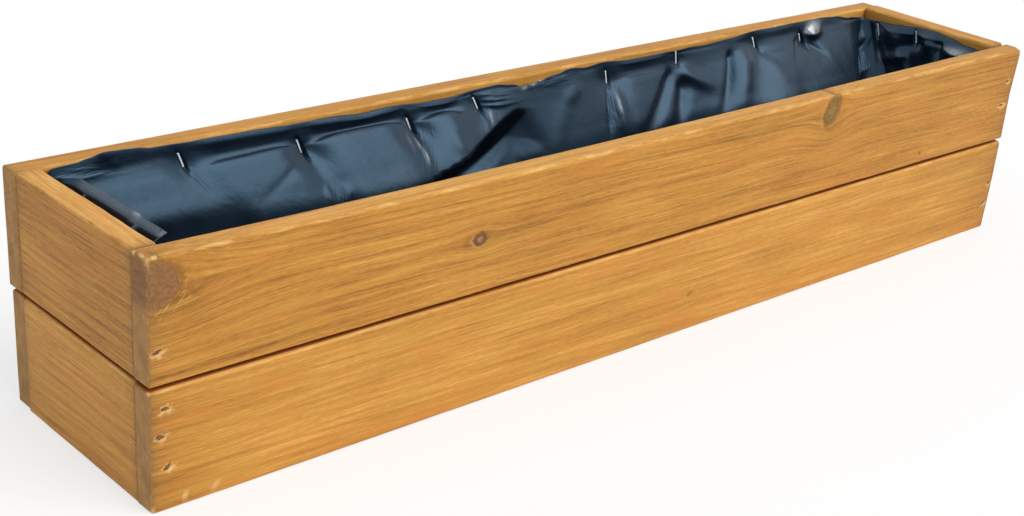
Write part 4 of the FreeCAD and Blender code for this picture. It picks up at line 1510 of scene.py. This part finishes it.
    def edges(self, wall: np.ndarray, share: np.ndarray, turn: np.ndarray, place: np.ndarray
              ) -> Tuple[np.ndarray, Dict[str, np.ndarray]]:
        """Gives, for each column, the hem's height and the shares of the film's sections.

        Args:
            wall: each column's wall by number.
            share: its share along the wall.
            turn: its turn round the corner.
            place: its place along the wall's axis, at the hem.

        Returns:
            The heights, and the shares by the section's name.
        """
        hem, pocket = np.empty_like(place), np.empty_like(place)
        for number, side in enumerate(Wall):
            mine = wall == number
            hem[mine], pocket[mine] = self.hem(side, place[mine]), self.pocket(side, place[mine])
            pins = np.array([pin[0] for pin in self.pins[side]])
            apart = np.abs(place[mine][:, None] - pins[None, :]).min(axis=1)
            pocket[mine] *= 1 - self.swag_hold * np.exp(-(apart / self.swag) ** 2)
        blend = smooth_step(0.0, np.pi / 2, turn)
        first = np.array([hem[wall == number][0] for number in range(4)])
        hem = hem * (1 - blend) + first[(wall + 1) % 4] * blend
        straight, back = turn == 0, wall == Wall.BACK.number
        sheer = [(-480, 0.0), (-48, 0.0), (-6, 0.4), (80, 0.45), (200, 0.35), (280, 0.2), (330, 0.0),
                 (450, 0.0), (480, 0.7)]
        far = np.abs(share)
        tail = np.where(share < 0, smooth_step(1.02, 0.70, far), smooth_step(1.04, 0.93, far))
        shares = {
            "steep": np.where(back, swelling(sheer, place), 0.3),
            "drop": smooth_step(-290, -410, place) * back,
            "lean": smooth_step(180, 340, place) * smooth_step(478, 450, place) * back,
            "bulged": smooth_step(1.02, 0.80, far) * straight * (wall == Wall.RIGHT.number),
            "puffed": pocket * (1 - blend),
            "flared": tail * straight * (wall == Wall.LEFT.number),
        }
        return hem, shares

    def pinch(self, wall: np.ndarray, place: np.ndarray, height: np.ndarray) -> Tuple[np.ndarray, np.ndarray]:
        """Gives how the staples hold the film.

        The grip is 1 under each crown and falls to 0 close round it, along e to the minus sixth power.
        The draw is a wide bell about the crown, in which the film comes part of the way to the wall.

        Args:
            wall: each column's wall by number.
            place: place along the wall, rows by columns.
            height: height of each point.

        Returns:
            The grip and the draw, from 0 to 1.
        """
        grip, draw = np.zeros_like(place), np.zeros_like(place)
        for number, side in enumerate(Wall):
            mine = wall == number
            flared = side is Wall.LEFT
            tall = self.pinch_height * (self.flared_pinch if flared else 1.0)
            pull = self.flared_draw if flared else self.draw
            for along, up, lean in self.pins[side]:
                above = height[:, mine] - up
                aside = place[:, mine] - along - lean * above
                apart = (aside / self.pinch_width) ** 2 + (above / tall) ** 2
                grip[:, mine] = np.maximum(grip[:, mine], np.exp(-apart ** 3))
                wide = np.exp(-(aside / self.draw_reach[0]) ** 2 - (above / self.draw_reach[1]) ** 2)
                draw[:, mine] = np.maximum(draw[:, mine], pull * wide)
        return grip, draw

    def clearance(self, wall: np.ndarray, place: np.ndarray, height: np.ndarray) -> np.ndarray:
        """Gives the least stand off each wall: clear of the boards, and of the batten behind the film."""
        low, high = (np.array(corner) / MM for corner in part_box("back_middle_batten"))
        depth = self.half_width - low[1] + self.batten_gap
        beside = smooth_step(*(high[0] + reach for reach in self.beside_batten), np.abs(place))
        below = smooth_step(*(high[2] + reach for reach in self.above_batten), height)
        return np.maximum(self.clear, depth * beside * below * (wall % 2 == 0)[None, :])

    def floor_points(self, edge: np.ndarray) -> np.ndarray:
        """Carries the film from its lowest outline in to the middle line of the floor, in shallow creases."""
        reach = self.half_length - self.half_width
        line = np.stack([np.clip(edge[:, 0], -reach, reach), np.zeros(len(edge)), edge[:, 2]], axis=-1)
        share = np.linspace(0, 1, self.floor_rows + 1)[1:, None, None]
        points = edge[None] * (1 - share) + line[None] * share
        crease = ridged_noise(points[..., 0] / 60, points[..., 1] / 45, 47)
        points[..., 2] += self.crease * crease * (1 - share[..., 0] ** 2) ** 2
        points[-1, :, 2] = self.floor + self.floor_rise
        return points

    def dress(self) -> bpy.types.Object:
        points = self.surface()
        piece = grid_piece("liner_film", points, self.marks(points), False)
        shell = piece.modifiers.new("thickness", "SOLIDIFY")
        shell.thickness = self.thick * MM
        shell.offset = 1.0
        piece.data.materials.append(self.film.material())
        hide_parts("liner")
        return piece


# Timber and fasteners that keep their CAD shape

def paint(words: Sequence[str], material: bpy.types.Material) -> List[str]:
    """Gives every CAD node whose name holds one of the words one material.

    Args:
        words: parts of the nodes' names.
        material: the material.

    Returns:
        The names of the painted nodes.
    """
    nodes = [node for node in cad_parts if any(word in node for word in words)]
    for item in (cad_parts[node] for node in nodes):
        if not item.material_slots:
            item.data.materials.append(material)
        for slot in item.material_slots:
            slot.material = material
    return nodes


@dataclass
class InnerTimber:
    """The posts, battens, ledgers and floor slats, as their CAD nodes."""

    pine: SawnPine = SawnPine()

    def dress(self) -> List[str]:
        """Paints each stick along its own grain and names them."""
        groups = {Grain.UPRIGHT: ("_post", "_batten"), Grain.ALONG: ("_ledger",),
                  Grain.ACROSS: ("floor_slat",)}
        return [node for grain, words in groups.items() for node in paint(words, self.pine.material(grain))]


@dataclass
class Fasteners:
    """The staples of the liner and the nails of the box, as their CAD nodes."""

    # The staples' pale blue-white colour, with no metal, is partly the zinc's own colour and partly a painted
    # reflection of the bright sky.
    staple: FastenerWire = FastenerWire("staple_wire", (0.80, 0.88, 0.96), (0.92, 0.97, 1.0), 0.40, 0.0)
    nail: FastenerWire = FastenerWire("nail_wire", (0.100, 0.044, 0.012), (0.240, 0.112, 0.034), 0.70, 0.10)

    def dress(self) -> List[str]:
        """Paints staples and nails and names them."""
        return paint(("staples",), self.staple.material()) + paint(("nails",), self.nail.material())


# Studio

@dataclass
class Studio:
    """A pale floor, soft light from the front and right, and the camera."""

    camera_place: Triple = (-0.9946, -0.9668, 0.6285)
    heading: float = 43.48
    dip: float = 25.97
    roll: float = 4.595
    lens: float = 58.48
    shift_up: float = 0.0801
    floor_reach: float = 9.0
    floor_cells: int = 8
    floor_colour: Colour = (0.97, 0.97, 0.96)
    floor_mottle: float = 0.995
    floor_cloud: Weave = Weave((400, 400, 400))
    floor_white: float = 0.62
    white: Tuple[float, float, float, float] = (1.0, 1.0, 1.0, 1.0)
    sky: Colour = (0.610, 0.635, 0.690)
    sun_colour: Colour = (1.0, 0.955, 0.880)
    sun_strength: float = 1.85
    sun_turn: Triple = (44.0, 0.0, 22.0)
    sun_spread: float = 50.0

    def floor(self) -> None:
        """Lays the floor: a flat grid with a barely mottled pale finish, marked as a backdrop."""
        cells, row_length = self.floor_cells, self.floor_cells + 1
        stations = np.linspace(-self.floor_reach, self.floor_reach, row_length)
        across, along = np.meshgrid(stations, stations)
        corners = np.stack([across, along, np.zeros_like(along)], axis=-1).reshape(-1, 3)
        row, column = np.meshgrid(np.arange(cells), np.arange(cells), indexing="ij")
        first = row * row_length + column
        faces = np.stack([first, first + 1, first + row_length + 1, first + row_length], axis=-1)
        mesh = bpy.data.meshes.new("studio_floor")
        mesh.from_pydata(corners, [], faces.reshape(-1, 4))
        floor = bpy.data.objects.new("studio_floor", mesh)
        bpy.context.scene.collection.objects.link(floor)
        graph = Graph.fresh("studio_floor")
        cloud = graph.noise(self.floor_cloud, graph.place())
        darker = tuple(part * self.floor_mottle for part in self.floor_colour)
        colour = graph.blend(cloud, self.floor_colour, darker)
        matt = graph.node("ShaderNodeBsdfDiffuse", {}, {"Color": colour})
        white = graph.node("ShaderNodeEmission", {}, {"Color": self.white})
        self.mix(graph, graph.seen() * self.floor_white, matt, white, "ShaderNodeOutputMaterial")
        floor.data.materials.append(graph.owner)
        floor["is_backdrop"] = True

    @staticmethod
    def mix(graph: Graph, amount: Value, base: bpy.types.Node, over: bpy.types.Node, output: str) -> None:
        """Ends a graph in a mix of two shaders."""
        mixed = graph.node("ShaderNodeMixShader", {}, {0: amount, 1: base.outputs[0], 2: over.outputs[0]})
        graph.node(output, {}, {"Surface": mixed.outputs[0]})

    def light(self) -> None:
        """Sets a sky that lights softly and looks white, and one broad sun."""
        world = bpy.data.worlds.new("studio_sky")
        bpy.context.scene.world = world
        graph = Graph(world)
        soft = graph.node("ShaderNodeBackground", {}, {"Color": (*self.sky, 1.0)})
        white = graph.node("ShaderNodeBackground", {}, {"Color": self.white})
        self.mix(graph, graph.seen(), soft, white, "ShaderNodeOutputWorld")
        sun = bpy.data.lights.new("studio_sun", "SUN")
        sun.energy = self.sun_strength
        sun.color = self.sun_colour
        sun.angle = math.radians(self.sun_spread)
        lamp = bpy.data.objects.new("studio_sun", sun)
        lamp.rotation_euler = tuple(math.radians(turn) for turn in self.sun_turn)
        bpy.context.scene.collection.objects.link(lamp)

    def camera(self) -> None:
        """Sets the camera from its place, heading, dip and roll."""
        heading, dip, roll = (math.radians(turn) for turn in (self.heading, self.dip, self.roll))
        level = np.array([math.cos(heading), -math.sin(heading), 0.0])
        ahead = np.array([math.sin(heading) * math.cos(dip), math.cos(heading) * math.cos(dip),
                          -math.sin(dip)])
        above = np.cross(level, ahead)
        right = level * math.cos(roll) + above * math.sin(roll)
        up = above * math.cos(roll) - level * math.sin(roll)
        turned = np.eye(4)
        turned[:3, :3] = np.stack([right, up, -ahead], axis=-1)
        turned[:3, 3] = self.camera_place
        lens = bpy.data.cameras.new("camera")
        lens.lens = self.lens
        lens.shift_y = self.shift_up
        view = bpy.data.objects.new("camera", lens)
        view.matrix_world = Matrix(turned.tolist())
        bpy.context.scene.collection.objects.link(view)
        bpy.context.scene.camera = view

    def set_up(self) -> None:
        """Lays the floor, lights it and sets the camera and the plain view."""
        self.floor()
        self.light()
        self.camera()
        bpy.context.scene.view_settings.view_transform = "Standard"


def main() -> None:
    """Builds the sub-assemblies in order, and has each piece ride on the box."""
    logging.basicConfig(level=logging.INFO, format="%(name)s: %(message)s")
    pieces = BoxWalls().dress() + [SlackFilm().dress()]
    for piece in pieces:
        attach(piece, "root")
        LOG.info("%s: %d faces", piece.name, len(piece.data.polygons))
    LOG.info("painted timber: %s", ", ".join(InnerTimber().dress()))
    LOG.info("painted fasteners: %s", ", ".join(Fasteners().dress()))
    Studio().set_up()
    boxes = {"cad": CAD_BOX, "visual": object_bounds()}
    plain = {name: [[float(number) for number in corner] for corner in box] for name, box in boxes.items()}


if __name__ == "__main__":
    main()
